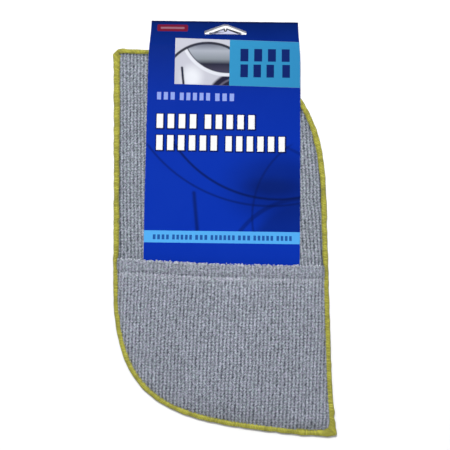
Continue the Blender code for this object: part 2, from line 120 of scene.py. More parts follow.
# Overlock
KNOT_PITCH = 1.15           # from one looper thread to the next
BAND_MIDDLE = 1.5           # height of the middle of the edging
BAND_HALF = 1.1             # half its thickness
BAND_ROUND = 1.3            # radius of its outer edge
THREAD_SLANT = 1.25         # a thread goes round the edge over this many pitches
THREAD_SWELL = 0.34         # height of the ridges between the threads
NEEDLE_RADIUS = 0.2
NEEDLE_HEIGHT = 2.75
NEEDLE_STITCH = 2.8         # length of its stitches
HEM_THREAD_RADIUS = 0.22
HEM_STITCH = 3.0
MITRE_LENGTH = 26.0         # the threads lean over this length to meet the next band
LEFT_WIDTHS = ((0, 5.4), (8, 4.6), (60, 4.3), (120, 4.0), (180, 3.6), (210, 4.0), (260, 3.3), (320, 3.4),
               (-26, 4.0), (-8, 4.3), (-4, 4.9), (-0.5, 6.6))
RIGHT_WIDTHS = ((0, 4.6), (7, 3.5), (30, 3.0), (60, 3.1), (120, 3.6), (200, 3.7), (280, 3.8), (350, 4.0),
                (-20, 4.4), (-8, 4.9), (-4, 5.6), (-0.5, 7.2))

# Card, in its own frame: X along the fold, Y out of the pocket, from the fold's axis
JOINTS = {joint["name"]: joint for joint in frame["joints"]}
FOLD = JOINTS["card_fold"]
TAB = JOINTS["tab_crease"]
BOARD = 0.45
CARD_WIDTH = 114.3
CARD_LENGTH = 215.0
CARD_HALF = 57.1            # of the visible board
BEND_Y = -20.0              # the front leaf slopes from the fold to here, and is flat below
FOLD_GAP = 0.3
FRONT_MID_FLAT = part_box("card_front")[1].z / MM - BOARD / 2 - FOLD["pos_m"][2] / MM
FRONT_MID_FOLD = 0.475
REAR_MID = BOARD / 2 - FOLD["pos_m"][2] / MM
FRONT_SLOPE = (FRONT_MID_FLAT - FRONT_MID_FOLD) / (-BEND_Y - FOLD_GAP)
HOLE = ((-15.3, -10.6), (16.5, -10.6), (16.5, -8.0), (2.1, -2.4), (-0.9, -2.4), (-15.3, -8.0))
HOLE_ROUND = 0.8
TAB_HALF = 12.7
TAB_HEIGHT = 5.1
TAB_SPLIT_DEPTH = 2.4
TAB_SPLIT_HALF = 0.75
TAB_SHADOW_WIDTH = 1.15           # width of the dark painted shadow along the tab's slanted sides

# Camera and light
GAIN = 0.70                 # the light is bright, so colours are darker than they show
TARGET = Vector((0.00278, -0.00283, 0.002))
EYE = Vector((0.00165, -0.1023, 0.653))
UPWARD = Vector((0.01134, 0.99994, 0.0))
SKY_FADE = (0.12, 0.5, 0.95, 0.42)      # two heights in the sky, and its strength at each
FLOOR_GLOW = (0.45, 1.5, 0.0, 0.55)     # two distances from the middle in metres, and the glow at each
FLOOR_WHITE = (0.86, 0.86, 0.86)


# ---- outline

def side_points(start_y, end_y, straight_x, corner, flare):
    """Points down a straight side, which splays out towards its pointed corner."""
    y = np.linspace(start_y, end_y, 80)
    near = np.clip(1.0 - np.abs(corner[1] - y) / flare, 0.0, 1.0)
    return np.column_stack((straight_x + (corner[0] - straight_x) * near ** 2, y))


def cubic(start, pull_out, pull_in, end, count=160):
    t = np.linspace(0.0, 1.0, count)[:, None]
    u = 1.0 - t
    return start * u ** 3 + pull_out * 3 * u * u * t + pull_in * 3 * u * t * t + end * t ** 3


def left_edge():
    """Upper corner, left side, lower left curve, lower corner."""
    side = side_points(UPPER_CORNER[1], LEFT_CURVE_START_Y, -LEFT_SIDE_X, UPPER_CORNER, LEFT_FLARE)
    along = np.array((cos(BOTTOM_SLOPE), -sin(BOTTOM_SLOPE)))
    curve = cubic(side[-1], side[-1] - (0.0, LEFT_PULLS[0]), LEFT_CURVE_END - along * LEFT_PULLS[1],
                  LEFT_CURVE_END)
    return np.vstack((side, curve[1:], LOWER_CORNER))


def right_edge():
    """Upper corner, top, upper right curve, right side, lower corner."""
    side = side_points(RIGHT_CURVE_END_Y, LOWER_CORNER[1], RIGHT_SIDE_X, LOWER_CORNER, RIGHT_FLARE)
    along = np.array((cos(TOP_SLOPE), -sin(TOP_SLOPE)))
    curve = cubic(RIGHT_CURVE_START, RIGHT_CURVE_START + along * RIGHT_PULLS[1],
                  side[0] + (0.0, RIGHT_PULLS[0]), side[0])
    return np.vstack((UPPER_CORNER, curve, side[1:]))


def running_length(path):
    return np.concatenate(([0.0], np.cumsum(np.linalg.norm(np.diff(path, axis=0), axis=1))))


def resample(path, step):
    """Even points along a path, with their running lengths."""
    run = running_length(path)
    s = np.linspace(0.0, run[-1], int(run[-1] / step) + 1)
    return np.column_stack((np.interp(s, run, path[:, 0]), np.interp(s, run, path[:, 1]))), s


def unit_rows(vectors):
    return vectors / np.linalg.norm(vectors, axis=1)[:, None]


def inward(path, side):
    """Unit normals that point into the leaf. side is +1 when the cloth is on the path's left."""
    tangent = unit_rows(np.gradient(path, axis=0))
    return np.column_stack((-tangent[:, 1], tangent[:, 0])) * side


def make_depth_field():
    """Signed distance inwards from the outline, on an even grid that covers the leaf."""
    loop = np.vstack((resample(left_edge(), 2.0)[0], resample(right_edge(), 2.0)[0][-2:0:-1]))
    xs = np.arange(-86.0, 86.5, FIELD_STEP)
    ys = np.arange(-150.0, 150.5, FIELD_STEP)
    grid = np.stack(np.meshgrid(xs, ys), axis=-1).reshape(-1, 2)
    nearest = np.full(len(grid), 1e9)
    crossings = np.zeros(len(grid), int)
    for start, end in zip(loop, np.roll(loop, -1, axis=0)):
        run = end - start
        t = np.clip(((grid - start) @ run) / (run @ run), 0.0, 1.0)
        nearest = np.minimum(nearest, np.linalg.norm(grid - start - t[:, None] * run, axis=1))
        spans = (start[1] > grid[:, 1]) != (end[1] > grid[:, 1])
        if abs(run[1]) > 1e-9:
            crossings += spans & (grid[:, 0] < start[0] + (grid[:, 1] - start[1]) * run[0] / run[1])
    return xs, ys, np.where(crossings % 2 == 1, nearest, -nearest).reshape(len(ys), len(xs))


FIELD = make_depth_field()


# ---- tables, noise and ribs

def ease(part):
    return part * part * (3 - 2 * part)


def smooth(low, high, value):
    return ease(np.clip((value - low) / (high - low), 0.0, 1.0))


def bilinear(table, i, j, bend=np.asarray):
    """A table's value between its cells, at column i and row j."""
    i = np.clip(i, 0, table.shape[1] - 1.001)
    j = np.clip(j, 0, table.shape[0] - 1.001)
    i0, j0 = i.astype(int), j.astype(int)
    fi, fj = bend(i - i0), bend(j - j0)
    low = table[j0, i0] * (1 - fi) + table[j0, i0 + 1] * fi
    high = table[j0 + 1, i0] * (1 - fi) + table[j0 + 1, i0 + 1] * fi
    return low * (1 - fj) + high * fj


def look_up(field, x, y):
    """Value at x, y of a field: the x of its columns, the y of its rows, and its table."""
    xs, ys, table = field
    return bilinear(table, (x - xs[0]) / (xs[1] - xs[0]), (y - ys[0]) / (ys[1] - ys[0]))


def bell(value, middle, width):
    """A bump that is 1 at its middle and dies away on both sides."""
    return np.exp(-((value - middle) / width) ** 2)


def soft_noise(seed, size, x, y):
    """Smooth random surface from 0 to 1 with patches of the given size."""
    count = int(360 / size) + 4
    table = np.random.default_rng(seed).random((count, count))
    return bilinear(table, (x + 170.0) / size, (y + 170.0) / size, ease)


def strand_noise(seed, strands, spacing, span):
    """One smooth random curve for each strand: returns a function of (strand index, place)."""
    rng = np.random.default_rng(seed)
    knots = int(span / spacing) + 6
    table = rng.random((strands, knots))
    phase = rng.random(strands)

    def value(index, place):
        at = np.clip((place / spacing) + phase[index] + 2.0, 0, knots - 1.001)
        j = at.astype(int)
        f = ease(at - j)
        return table[index, j] * (1 - f) + table[index, j + 1] * f
    return value


def depth_at(x, y):
    return look_up(FIELD, x, y)


def inner_depth(x, y):
    """Depth inwards, rounded off inside the two pointed corners."""
    depth = depth_at(x, y)
    for corner, *sides in CORNER_SIDES:
        one, two = (((x - corner[0]) * side[0] + (y - corner[1]) * side[1]).clip(0.0, CORNER_ROUND)
                    for side in sides)
        round_depth = CORNER_ROUND - np.hypot(CORNER_ROUND - one, CORNER_ROUND - two)
        near = np.hypot(x - corner[0], y - corner[1]) < 3 * CORNER_ROUND
        depth = np.where(near & (depth > EDGE_DEPTH), np.clip(round_depth, EDGE_DEPTH, depth), depth)
    return depth


def trimmed_depth(x, y):
    """Depth inwards from the outline and from the blunt ends of its two pointed corners."""
    depth = depth_at(x, y)
    for corner, blunt in ((UPPER_CORNER, UPPER_BLUNT), (LOWER_CORNER, LOWER_BLUNT)):
        away = np.abs(x - corner[0]) + np.abs(y - corner[1])
        depth = np.minimum(depth, away / sqrt(2) - blunt)
    return depth


def risen(depth):
    """0 where the edging holds the cloth down, 1 where it has its whole thickness."""
    return smooth(EDGE_DEPTH, FULL_DEPTH, depth)


def hem_y(x):
    return HEM_RIGHT_Y + HEM_SAG * (x - HEM_SAG_X) ** 2


class Ribs:
    """Ribs of the knit: rows of loops that line up across the cloth, fuzzy and a little uneven."""

    SPAN = 400.0                        # length of cloth that the random curves cover
    SWAY = 0.085                        # swing of a rib with its loops, in rib pitches
    WANDER = 0.24                       # random swing, and what fuzz adds to it
    FUZZ_WANDER = 0.4

    def __init__(self, seed, lean):
        self.seed = seed
        self.lean = lean
        self.strands = int(220 / RIB_PITCH)
        self.wander = strand_noise(seed, self.strands, 1.1, self.SPAN)
        self.width = strand_noise(seed + 2, self.strands, 1.6, self.SPAN)
        self.tint = strand_noise(seed + 5, self.strands, 0.95, self.SPAN)
        self.bridge = strand_noise(seed + 6, self.strands + 1, 1.0, self.SPAN)

    def at(self, x, y, fuzz=0.0):
        """Height from 0 in a groove to 1 on a crest, and a random tone, for places in millimetres."""
        across = x + self.lean * y
        place = y + 180.0
        u = (across + 110.0) / RIB_PITCH + 0.34 * (soft_noise(self.seed + 9, 15.0, across, y) - 0.5)
        course = place / LOOP_LENGTH + 1.1 * (soft_noise(self.seed + 8, 24.0, across, y) - 0.5)
        loop = 0.5 - 0.5 * np.cos(2 * pi * course)
        sway = self.SWAY * np.sin(2 * pi * course)
        nearest = np.floor(u).astype(int)
        best = np.full(u.shape, -9.0)
        tone = np.zeros(u.shape)
        for step in (-1, 0, 1):
            index = np.clip(nearest + step, 0, self.strands - 1)
            swing = (self.WANDER + self.FUZZ_WANDER * fuzz) * (self.wander(index, place) - 0.5)
            half = 0.50 + 0.07 * (loop - 0.5) + 0.08 * (self.width(index, place) - 0.5)
            height = 0.78 + 0.24 * loop - np.abs((u - (index + 0.5 + swing + sway)) / half) ** 2.2
            higher = height > best
            best = np.where(higher, height, best)
            tone = np.where(higher, self.tint(index, place), tone)
        gap = np.clip(np.floor(u + 0.5).astype(int), 0, self.strands)
        filled = smooth(0.30, 0.80, self.bridge(gap, place))
        height = np.clip(np.maximum(best, 0.5 * filled), 0.0, 1.15)
        tangle = 0.3 + 0.7 * soft_noise(self.seed + 11, 1.2, across, y)
        return height * (1.0 - fuzz) + tangle * fuzz, tone


# ---- card frame

def hinge_frame(joint):
    """A hinge's frame as a matrix in metres: X along its axis, Y away from the pocket, Z up."""
    along = Vector(joint["axis"]).normalized()
    up = Vector((0, 0, 1))
    turn = Matrix((along, up.cross(along), up)).transposed().to_4x4()
    return Matrix.Translation(Vector(joint["pos_m"])) @ turn


CARD = hinge_frame(FOLD)
CARD_INVERSE = np.array(CARD.inverted())


def lift_over_leaf(x, y):
    """How far the mitt's underside is raised by the rear leaf beneath it."""
    place = (x + MIDDLE[0], y + MIDDLE[1])
    u, v = (row[0] * place[0] + row[1] * place[1] + row[3] / MM for row in CARD_INVERSE[:2])
    across = 1.0 - smooth(CARD_WIDTH / 2 + 1.0, CARD_WIDTH / 2 + 9.0, np.abs(u))
    below = smooth(-CARD_LENGTH - 9.0, -CARD_LENGTH - 1.0, v)
    return (BOARD + 0.12) * across * below


# ---- meshes

def set_fields(mesh, fields):
    """Store named numbers at each point of a mesh, for its materials to read."""
    for key, values in fields.items():
        attribute = mesh.attributes.new(key, "FLOAT", "POINT")
        attribute.data.foreach_set("value", np.asarray(values, np.float32))


def new_object(name, mesh):
    item = bpy.data.objects.new(name, mesh)
    bpy.context.scene.collection.objects.link(item)
    return item


def new_mesh(name, points, quads, fields, about=MIDDLE):
    """A smooth mesh object from arrays; points are in millimetres, about a place in the frame."""
    points = np.array(points, float)
    points[:, :2] += about
    mesh = bpy.data.meshes.new(name)
    mesh.vertices.add(len(points))
    mesh.vertices.foreach_set("co", (points * MM).astype(np.float32).ravel())
    mesh.loops.add(quads.size)
    mesh.loops.foreach_set("vertex_index", quads.astype(np.int32).ravel())
    mesh.polygons.add(len(quads))
    mesh.polygons.foreach_set("loop_start", np.arange(0, quads.size, 4, dtype=np.int32))
    mesh.update(calc_edges=True)
    set_fields(mesh, fields)
    mesh.shade_smooth()
    return new_object(name, mesh)


def face_outward(mesh):
    form = bmesh.new()
    form.from_mesh(mesh)
    bmesh.ops.recalc_face_normals(form, faces=form.faces[:])
    form.to_mesh(mesh)
    form.free()


def quads_of(*corners):
    """Quads from four arrays of their corners."""
    return np.stack(corners, axis=-1).reshape(-1, 4)


def grid_quads(rows, columns):
    index = np.arange(rows * columns).reshape(rows, columns)
    return quads_of(index[:-1, :-1], index[:-1, 1:], index[1:, 1:], index[1:, :-1])


def ring_quads(rings, around, first=0):
    """Quads between closed rings of points that follow each other."""
    index = np.arange(rings * around).reshape(rings, around) + first
    turned = np.roll(index, -1, axis=1)
    return quads_of(index[:-1], turned[:-1], turned[1:], index[1:])


def circle_rings(line, across, up, radius, around):
    """Circles of points round each point of a line."""
    turn = np.linspace(0, 2 * pi, around, endpoint=False)[None, :, None]
    return line[:, None, :] + radius * (np.cos(turn) * across[:, None, :] + np.sin(turn) * up[:, None, :])


def cloth_sheet(name, x, y, z, pile, tone, flip):
    """Cut a grid of cloth along the outline and make it a mesh."""
    depth = trimmed_depth(x, y)
    nudge = 0.5
    slope_x = (trimmed_depth(x + nudge, y) - trimmed_depth(x - nudge, y)) / (2 * nudge)
    slope_y = (trimmed_depth(x, y + nudge) - trimmed_depth(x, y - nudge)) / (2 * nudge)
    keep = depth > CLOTH_CUT - CUT_SLACK
    short = np.where((depth < CLOTH_CUT) & keep, CLOTH_CUT - depth, 0.0)
    points = np.stack((x + slope_x * short, y + slope_y * short, z), axis=-1).reshape(-1, 3)
    quads = grid_quads(*x.shape)
    quads = quads[keep.ravel()[quads].all(axis=1)]
    used = np.unique(quads)
    place = np.full(len(points), -1)
    place[used] = np.arange(len(used))
    quads = place[quads]
    if flip:
        quads = quads[:, ::-1]
    return new_mesh(name, points[used], quads, {"pile": pile.ravel()[used], "tone": tone.ravel()[used]})


# ---- cloth

def spread(table):
    """Fill a table's empty cells from their filled neighbours."""
    table = table.copy()
    while np.isnan(table).any():
        padded = np.pad(table, 1, constant_values=np.nan)
        near = np.stack((padded[:-2, 1:-1], padded[2:, 1:-1], padded[1:-1, :-2], padded[1:-1, 2:]))
        count = (~np.isnan(near)).sum(axis=0)
        fill = np.isnan(table) & (count > 0)
        table[fill] = np.nansum(near, axis=0)[fill] / count[fill]
    return table


def blurred(table):
    """Each cell of a table averaged with its eight neighbours."""
    padded = np.pad(table, 1, mode="edge")
    rows = padded[:-2] + 2 * padded[1:-1] + padded[2:]
    return (rows[:, :-2] + 2 * rows[:, 1:-1] + rows[:, 2:]) / 16


def make_pocket_field():
    """The pocket panel's underside on an even grid, read off the CAD solid and smoothed."""
    form = bmesh.new()
    form.from_mesh(frame["nodes"]["pocket_panel"].data)
    tree = BVHTree.FromBMesh(form)
    form.free()
    xs = np.arange(-84.0, 84.5, 2.0)
    ys = np.arange(-152.0, 8.0, 2.0)
    low = np.full((len(ys), len(xs)), np.nan)
    for j, y in enumerate(ys):
        for i, x in enumerate(xs):
            foot = Vector(((x + MIDDLE[0]) * MM, (y + MIDDLE[1]) * MM, -0.01))
            hit = tree.ray_cast(foot, Vector((0, 0, 1)))[0]
            if hit is not None:
                low[j, i] = hit.z / MM
    return xs, ys, blurred(blurred(spread(low)))


POCKET = make_pocket_field()


def pocket_low(x, y):
    return look_up(POCKET, x, y)


def panel_thickness(rise):
    return EDGE_THICKNESS + (CLOTH - EDGE_THICKNESS) * rise


def sunk(height, rise):
    """How far below its crests the cloth lies for a rib height, shallower near the edging."""
    return (1.0 - height) * RIB_HEIGHT * (0.4 + 0.6 * rise)


def with_fringe(height, depth, amount):
    """Rib height, made lower where the pile dips into the overlock; the lower height also darkens the
    colour there, painted shade along the overlock's inner side.
    """
    return np.maximum(height - amount * (1.0 - smooth(3.6, 6.6, depth)), 0.0)


def columns(step=COLUMN_STEP):
    return np.arange(-GRID_X, GRID_X + 0.01, step)


def make_mitt_face():
    """The mitt's front, with fine rows where it shows and coarse ones under the pocket."""
    seen_low = HEM_RIGHT_Y - 16.0
    ys = np.concatenate((np.arange(GRID_TOP, seen_low, -ROW_STEP), np.arange(seen_low, GRID_END, -3.0)))
    x, y = np.meshgrid(columns(), ys)
    depth = inner_depth(x, y)
    rise = risen(depth)
    rim = 2.2 - 0.85 * (1.0 - smooth(4.0, 14.0, y - hem_y(x)))
    lean = 0.012 + 0.030 * smooth(-40.0, 60.0, x)
    height, tone = Ribs(11, lean).at(x, y)
    height = with_fringe(height, depth, 0.34)
    z = rim + (CLOTH - rim) * rise - sunk(height, rise)
    z += 0.12 * (soft_noise(5, 14.0, x, y) - 0.8) * rise
    return cloth_sheet("mitt_face", x, y, z, height, tone, True)


def make_mitt_reverse():
    x, y = np.meshgrid(columns(COLUMN_STEP * 1.2), np.arange(GRID_TOP, GRID_END, -ROW_STEP * 1.3))
    rise = risen(depth_at(x, y))
    height, tone = Ribs(23, 0.02).at(x, y)
    z = 0.75 * (1.0 - rise) + sunk(height, rise) * 0.8 + lift_over_leaf(x, y)
    return cloth_sheet("mitt_reverse", x, y, np.maximum(z, 0.0), height, tone, False)


def make_lining():
    x, below = np.meshgrid(columns(2.4), np.arange(11.5, POCKET_REACH, 2.4))
    y = hem_y(x) - below
    height, tone = Ribs(41, POCKET_LEAN).at(x, y)
    z = pocket_low(x, y) + 0.35 * risen(depth_at(x, y))
    return cloth_sheet("pocket_lining", x, y, z, height, tone, False)


def hem_profile(below):
    """How much thicker the hem is than the panel, by the distance below the mouth."""
    band = HEM_EXTRA * (1.0 - smooth(HEM_DEPTH - 3.4, HEM_DEPTH + 0.3, below))
    return band - 0.30 * bell(below, HEM_DEPTH, 0.8) + 0.45 * bell(below, HEM_DEPTH + HEM_RIDGE, 1.1)


def hem_shade(below):
    """Painted highlight on the ridge under the hem's stitch line and fading below it, and painted shade in
    its groove.
    """
    ridge = 0.30 * bell(below, HEM_DEPTH + HEM_RIDGE, 1.3)
    fade = 0.14 * smooth(HEM_DEPTH, HEM_DEPTH + 1.0, below) * np.exp(-(below - HEM_DEPTH) / 7.0)
    return ridge + fade - 0.10 * bell(below, HEM_DEPTH, 0.7)


def hem_nose(xs):
    """Height of the underside, radius and rise of the rounded nose at the pocket's mouth."""
    y = hem_y(xs) - HEM_NOSE
    rise = risen(depth_at(xs, y))
    return pocket_low(xs, y), (panel_thickness(rise) + HEM_EXTRA * rise) / 2, rise


def make_pocket():
    """The pocket's outer face, turned round its hem and run a little way back inside."""
    xs = columns()
    mouth = hem_y(xs)
    ribs = Ribs(37, POCKET_LEAN)
    low_nose, radius, rise_nose = hem_nose(xs)

    def flat_rows(past_nose, outside):
        """Rows this far past the middle of the nose, on the panel's outer or inner side."""
        below = radius + past_nose[:, None]
        x, y = xs + 0.0 * below, mouth - below
        low, depth = pocket_low(x, y), inner_depth(x, y)
        rise = risen(depth)
        fuzz = 0.38 * (1.0 - smooth(HEM_DEPTH - 2.0, HEM_DEPTH + 1.0, below))
        height, tone = ribs.at(x, y, fuzz)
        height = with_fringe(height, depth, 0.12)
        if not outside:
            return x, y, low + (1.0 - height) * 0.6 * (0.3 + 0.7 * rise), height, tone
        z = low + panel_thickness(rise) + hem_profile(below) * rise - sunk(height, rise)
        return x, y, z, height + hem_shade(below) * rise, tone

    turn = np.radians(np.linspace(-82.0, 82.0, 9))[:, None]
    x = xs + 0.0 * turn
    height, tone = ribs.at(x, mouth + 0.9 * turn, 0.35)
    fringe = soft_noise(61, 1.3, xs, 0.0 * xs)
    reach = radius - ((1.0 - height) * RIB_HEIGHT - 1.5 * (fringe - 0.5)) * (0.3 + 0.7 * rise_nose)
    # The nose's pile is raised with the fuzz noise, so the turned mouth comes out lighter: painted
    # highlight.
    nose = (x, mouth - radius + reach * np.cos(turn) * 0.9, low_nose + radius + reach * np.sin(turn),
            height + 0.6 * (fringe - 0.2), tone)
    inside = flat_rows(np.arange(11.0, 0.0, -1.0), False)
    outside = flat_rows(np.concatenate((np.arange(0.25, 16.0, ROW_STEP),
                                        np.arange(16.2, POCKET_REACH, ROW_STEP * 1.05))), True)
    x, y, z, pile, tone = (np.vstack(parts) for parts in zip(inside, nose, outside))
    return cloth_sheet("pocket_face", x, y, z, pile, tone, True)


def make_mouth_loops():
    """Terry loops that stand out along the pocket's turned mouth, each a small bent thread."""
    rng = np.random.default_rng(71)
    xs = np.arange(-LOOPS_HALF, LOOPS_HALF + 0.1, 1.6)
    xs = xs + rng.uniform(-0.75, 0.75, len(xs))
    low, radius, _ = hem_nose(xs)
    bend = np.linspace(0.0, pi, 9)[:, None]
    around = 5
    count = len(bend) * around
    points, tones = [], []
    for x, mouth, base, nose in zip(xs, hem_y(xs), low, radius):
        up = rng.uniform(-0.2, 1.1)
        out = 0.15 + 0.85 * rng.random() ** 1.6
        half = rng.uniform(0.22, 0.46)
        tilt = rng.uniform(-0.9, 0.9)
        foot = np.array((x, mouth - nose + nose * 0.72 * cos(up), base + nose + nose * 0.80 * sin(up)))
        side = np.array((cos(tilt), 0.0, sin(tilt)))
        ahead = np.array((-sin(tilt) * 0.3, cos(up * 0.6), sin(up * 0.6)))
        line = foot + half * np.cos(bend) * side + out * np.sin(bend) * ahead
        across = np.cross(side, ahead)
        across = np.broadcast_to(across / np.linalg.norm(across), line.shape)
        other = np.cross(unit_rows(np.gradient(line, axis=0)), across)
        points.append(circle_rings(line, across, other, LOOP_RADIUS, around).reshape(-1, 3))
        tones.append(np.full(count, rng.random()))
    quads = np.vstack([ring_quads(len(bend), around, k * count) for k in range(len(xs))])
    points, tones = np.vstack(points), np.concatenate(tones)
    # Pile 1.1 puts every loop at the lightest end of its cloth: painted highlight on the loops.
    return new_mesh("mouth_loops", points, quads, {"pile": np.full(len(points), 1.1), "tone": tones})


# ---- threads

def band_width(s, hem_at, knots):
    """Width of an edging from its knots; places below 0 count back from its end."""
    places = [at if at >= 0 else s[-1] + at for at, _ in knots]
    return np.interp(s, places, [w for _, w in knots]) - 1.5 * bell(s, hem_at + 5.0, 6.5)


def random_curve(rng, s, spacing, spare):
    """Random values from 0 to 1 that change evenly along s."""
    places = np.arange(0, s[-1] + spare, spacing)
    return np.interp(s, places, rng.random(len(places)))


def near_ends(s, start_size, end_size):
    return bell(s, 0.0, start_size), bell(s, s[-1], end_size)


def blunt_corner(sections, corner, depth):
    """Press the threads at a pointed corner back to a short blunt end."""
    outward = np.sign(corner) / sqrt(2)
    past = (sections[..., :2] - corner) @ outward + depth
    near = np.linalg.norm(sections[..., :2] - corner, axis=-1) < BLUNT_REACH
    sections[..., :2] -= np.where(near, np.maximum(past, 0.0) * BLUNT_SHARE, 0.0)[..., None] * outward


def make_overlock(name, path, side, knots, angles, seed):
    """Looper threads laid round the raw edge in slanting ridges that bunch up and spread out."""
    path, s = resample(path, KNOT_PITCH / 5)
    normal = inward(path, side)
    length = s[-1]
    past_ends = (s < 30) | (s > length - 60)
    hem_at = s[np.argmin(np.abs(path[:, 1] - hem_y(path[:, 0])) + 1e3 * past_ends)]
    rng = np.random.default_rng(seed)
    loose = random_curve(rng, s, 2.3, 4)
    slow = random_curve(rng, s, 19.0, 30)
    ripple = random_curve(rng, s, 3.7, 12) - 0.5
    width = band_width(s, hem_at, knots) * (1.0 + 0.10 * (loose - 0.5) + 0.16 * (slow - 0.5))
    bulk = 1.0 + 0.35 * sum(near_ends(s, 7.0, 7.0))

    # Round the section: lane is 0 at the outer edge and 1 at the inner one, on top and then beneath
    lane = np.concatenate((np.linspace(1.0, 0.0, 9), np.zeros(7), np.linspace(0.0, 1.0, 7)))
    turn = np.radians(np.concatenate((np.full(9, 90.0), np.linspace(68, -68, 7), np.full(7, -90.0))))
    slant = THREAD_SLANT * np.linspace(0.0, 1.0, len(lane))
    phase = s[:, None] / KNOT_PITCH + slant + 0.35 * loose[:, None]
    ridge = np.abs(np.cos(pi * phase)) ** 0.8
    strand = np.floor(phase + 0.5).astype(int)
    strand -= strand.min()
    tone = np.random.default_rng(seed + 1).random(strand.max() + 1)[strand]
    swell = THREAD_SWELL * (ridge - 0.35) * (0.75 + 0.5 * tone) * bulk[:, None]
    reach = (width * (1.0 + 0.09 * (tone[:, 0] - 0.5)))[:, None]
    d = BAND_ROUND + lane * (reach - BAND_ROUND) - BAND_ROUND * np.cos(turn) - np.cos(turn) * swell * 0.8
    start_bell, end_bell = near_ends(s, 14.0, 30.0)
    ripple = ripple * (0.55 + 0.8 * start_bell + 0.9 * end_bell)
    ripple = ripple * smooth(0.0, 5.0, s) * smooth(0.0, 5.0, length - s)
    d = d - ripple[:, None] * (1.0 - lane)
    arch = 1.0 + 0.32 * np.sin(pi * lane ** 0.9) - 0.55 * lane ** 3
    rise = np.sin(turn) * (BAND_HALF * np.where(np.sin(turn) > 0, arch, 1.0) + swell)
    z = BAND_MIDDLE + rise * (1.0 + 0.12 * (bulk[:, None] - 1.0))

    # The threads lean at both ends, so that they meet the next band's in a mitre
    start_shift = np.clip(1.0 - s / MITRE_LENGTH, 0, 1)[:, None] / np.tan(angles[0] / 2)
    end_shift = np.clip(1.0 - (length - s) / MITRE_LENGTH, 0, 1)[:, None] / np.tan(angles[1] / 2)
    at = s[:, None] + (np.maximum(d, 0.0) + 0.12) * (start_shift - end_shift)
    x, y = (np.interp(at, s, path[:, k]) + np.interp(at, s, normal[:, k]) * d for k in (0, 1))
    sections = np.stack((x, y, np.maximum(z, lift_over_leaf(x, y))), axis=-1)
    blunt_corner(sections, UPPER_CORNER, UPPER_BLUNT)
    blunt_corner(sections, LOWER_CORNER, LOWER_BLUNT)
    quads = grid_quads(*phase.shape)[:, ::side]

    # Painted shade between the thread ridges, beneath and at the outer edge, and a painted highlight on
    # top along the lower left curve
    painted_light_and_shade = ridge * (1.0 - 0.85 * smooth(52.0, 22.0, np.degrees(turn)))
    pale = 0.30 * smooth(185.0, 235.0, s) * (side > 0)
    painted_light_and_shade = painted_light_and_shade + pale[:, None] * np.sin(pi * lane) ** 2
    band = new_mesh(name, sections.reshape(-1, 3), quads, {"pile": painted_light_and_shade.ravel(), "tone": tone.ravel()})
    return band, path, normal, s, width


def tube(name, line, radius, around=7):
    """A closed round thread along a line of points."""
    tangent = unit_rows(np.gradient(line, axis=0))
    side = unit_rows(np.cross(tangent, (0.0, 0.0, 1.0)))
    rings = circle_rings(line, side, np.cross(side, tangent), radius, around)
    cap = [(0, k, k + 1, min(k + 2, around - 1)) for k in range(1, around - 1, 2)]
    end_cap = np.array(cap) + (len(line) - 1) * around
    quads = np.vstack((ring_quads(len(line), around), np.array(cap)[:, ::-1], end_cap))
    return new_mesh(name, rings.reshape(-1, 3), quads, {})


def stitches(line, length, rise):
    """Lift and drop a line of thread in stitches: it shows on the cloth and dips between them."""
    wave = np.abs(np.sin(pi * running_length(line[:, :2]) / length)) ** 0.45
    line = line.copy()
    line[:, 2] += rise * (wave - 1.0)
    return line


def make_needle(name, path, normal, s, width):
    """The straight thread along the inner side of an edging, clear of its ends."""
    inner = path + normal * (width + 0.15)[:, None]
    keep = (s > 6.5) & (s < s[-1] - 6.5)
    line = np.column_stack((inner, np.full(len(inner), NEEDLE_HEIGHT)))[keep][::2]
    return tube(name, stitches(line, NEEDLE_STITCH, 0.7), NEEDLE_RADIUS)


def make_hem_thread(name, above):
    """One of the hem's two threads: on top of the pocket panel, or beneath it."""
    xs = np.arange(-STITCH_HALF_LENGTH, STITCH_HALF_LENGTH + 0.1, 0.35)
    y = hem_y(xs) - HEM_DEPTH - 2.0
    low = pocket_low(xs, y)
    rise = risen(depth_at(xs, y))
    z = low + panel_thickness(rise) - 0.35 * rise if above else low + 0.15
    line = stitches(np.column_stack((xs, y, z)), HEM_STITCH, 0.8 if above else -0.3)
    return tube(name, line, HEM_THREAD_RADIUS, 6)


# ---- card

def card_half_width(v):
    """The board narrows a little towards its fold and towards its lower end."""
    return CARD_HALF - 1.5 * smooth(-34.0, 0.0, v) - 0.6 * smooth(-120.0, -215.0, v)


def card_fields(points):
    return {"card_u": points[:, 0], "card_v": points[:, 1]}


def front_mid(v, u):
    bent = FRONT_MID_FOLD + FRONT_SLOPE * (-FOLD_GAP - v)
    return np.minimum(bent, FRONT_MID_FLAT) + 0.10 * (1 - (u / 57.0) ** 2) * smooth(-24.0, -90.0, v)


def rear_mid(v, u):
    return np.full_like(v, REAR_MID)


def rounded(points, radius, steps=5):
    """An outline's corners replaced by arcs."""
    made = []
    for i, point in enumerate(points):
        corner = Vector(point)
        back = (Vector(points[i - 1]) - corner).normalized()
        ahead = (Vector(points[(i + 1) % len(points)]) - corner).normalized()
        half = back.angle(ahead) / 2
        reach = radius * cos(half) / sin(half)
        centre = corner + (back + ahead).normalized() * (radius / sin(half))
        start, end = corner + back * reach, corner + ahead * reach
        for k in range(steps + 1):
            made.append(centre + (start - centre).lerp(end - centre, k / steps).normalized() * radius)
    return made


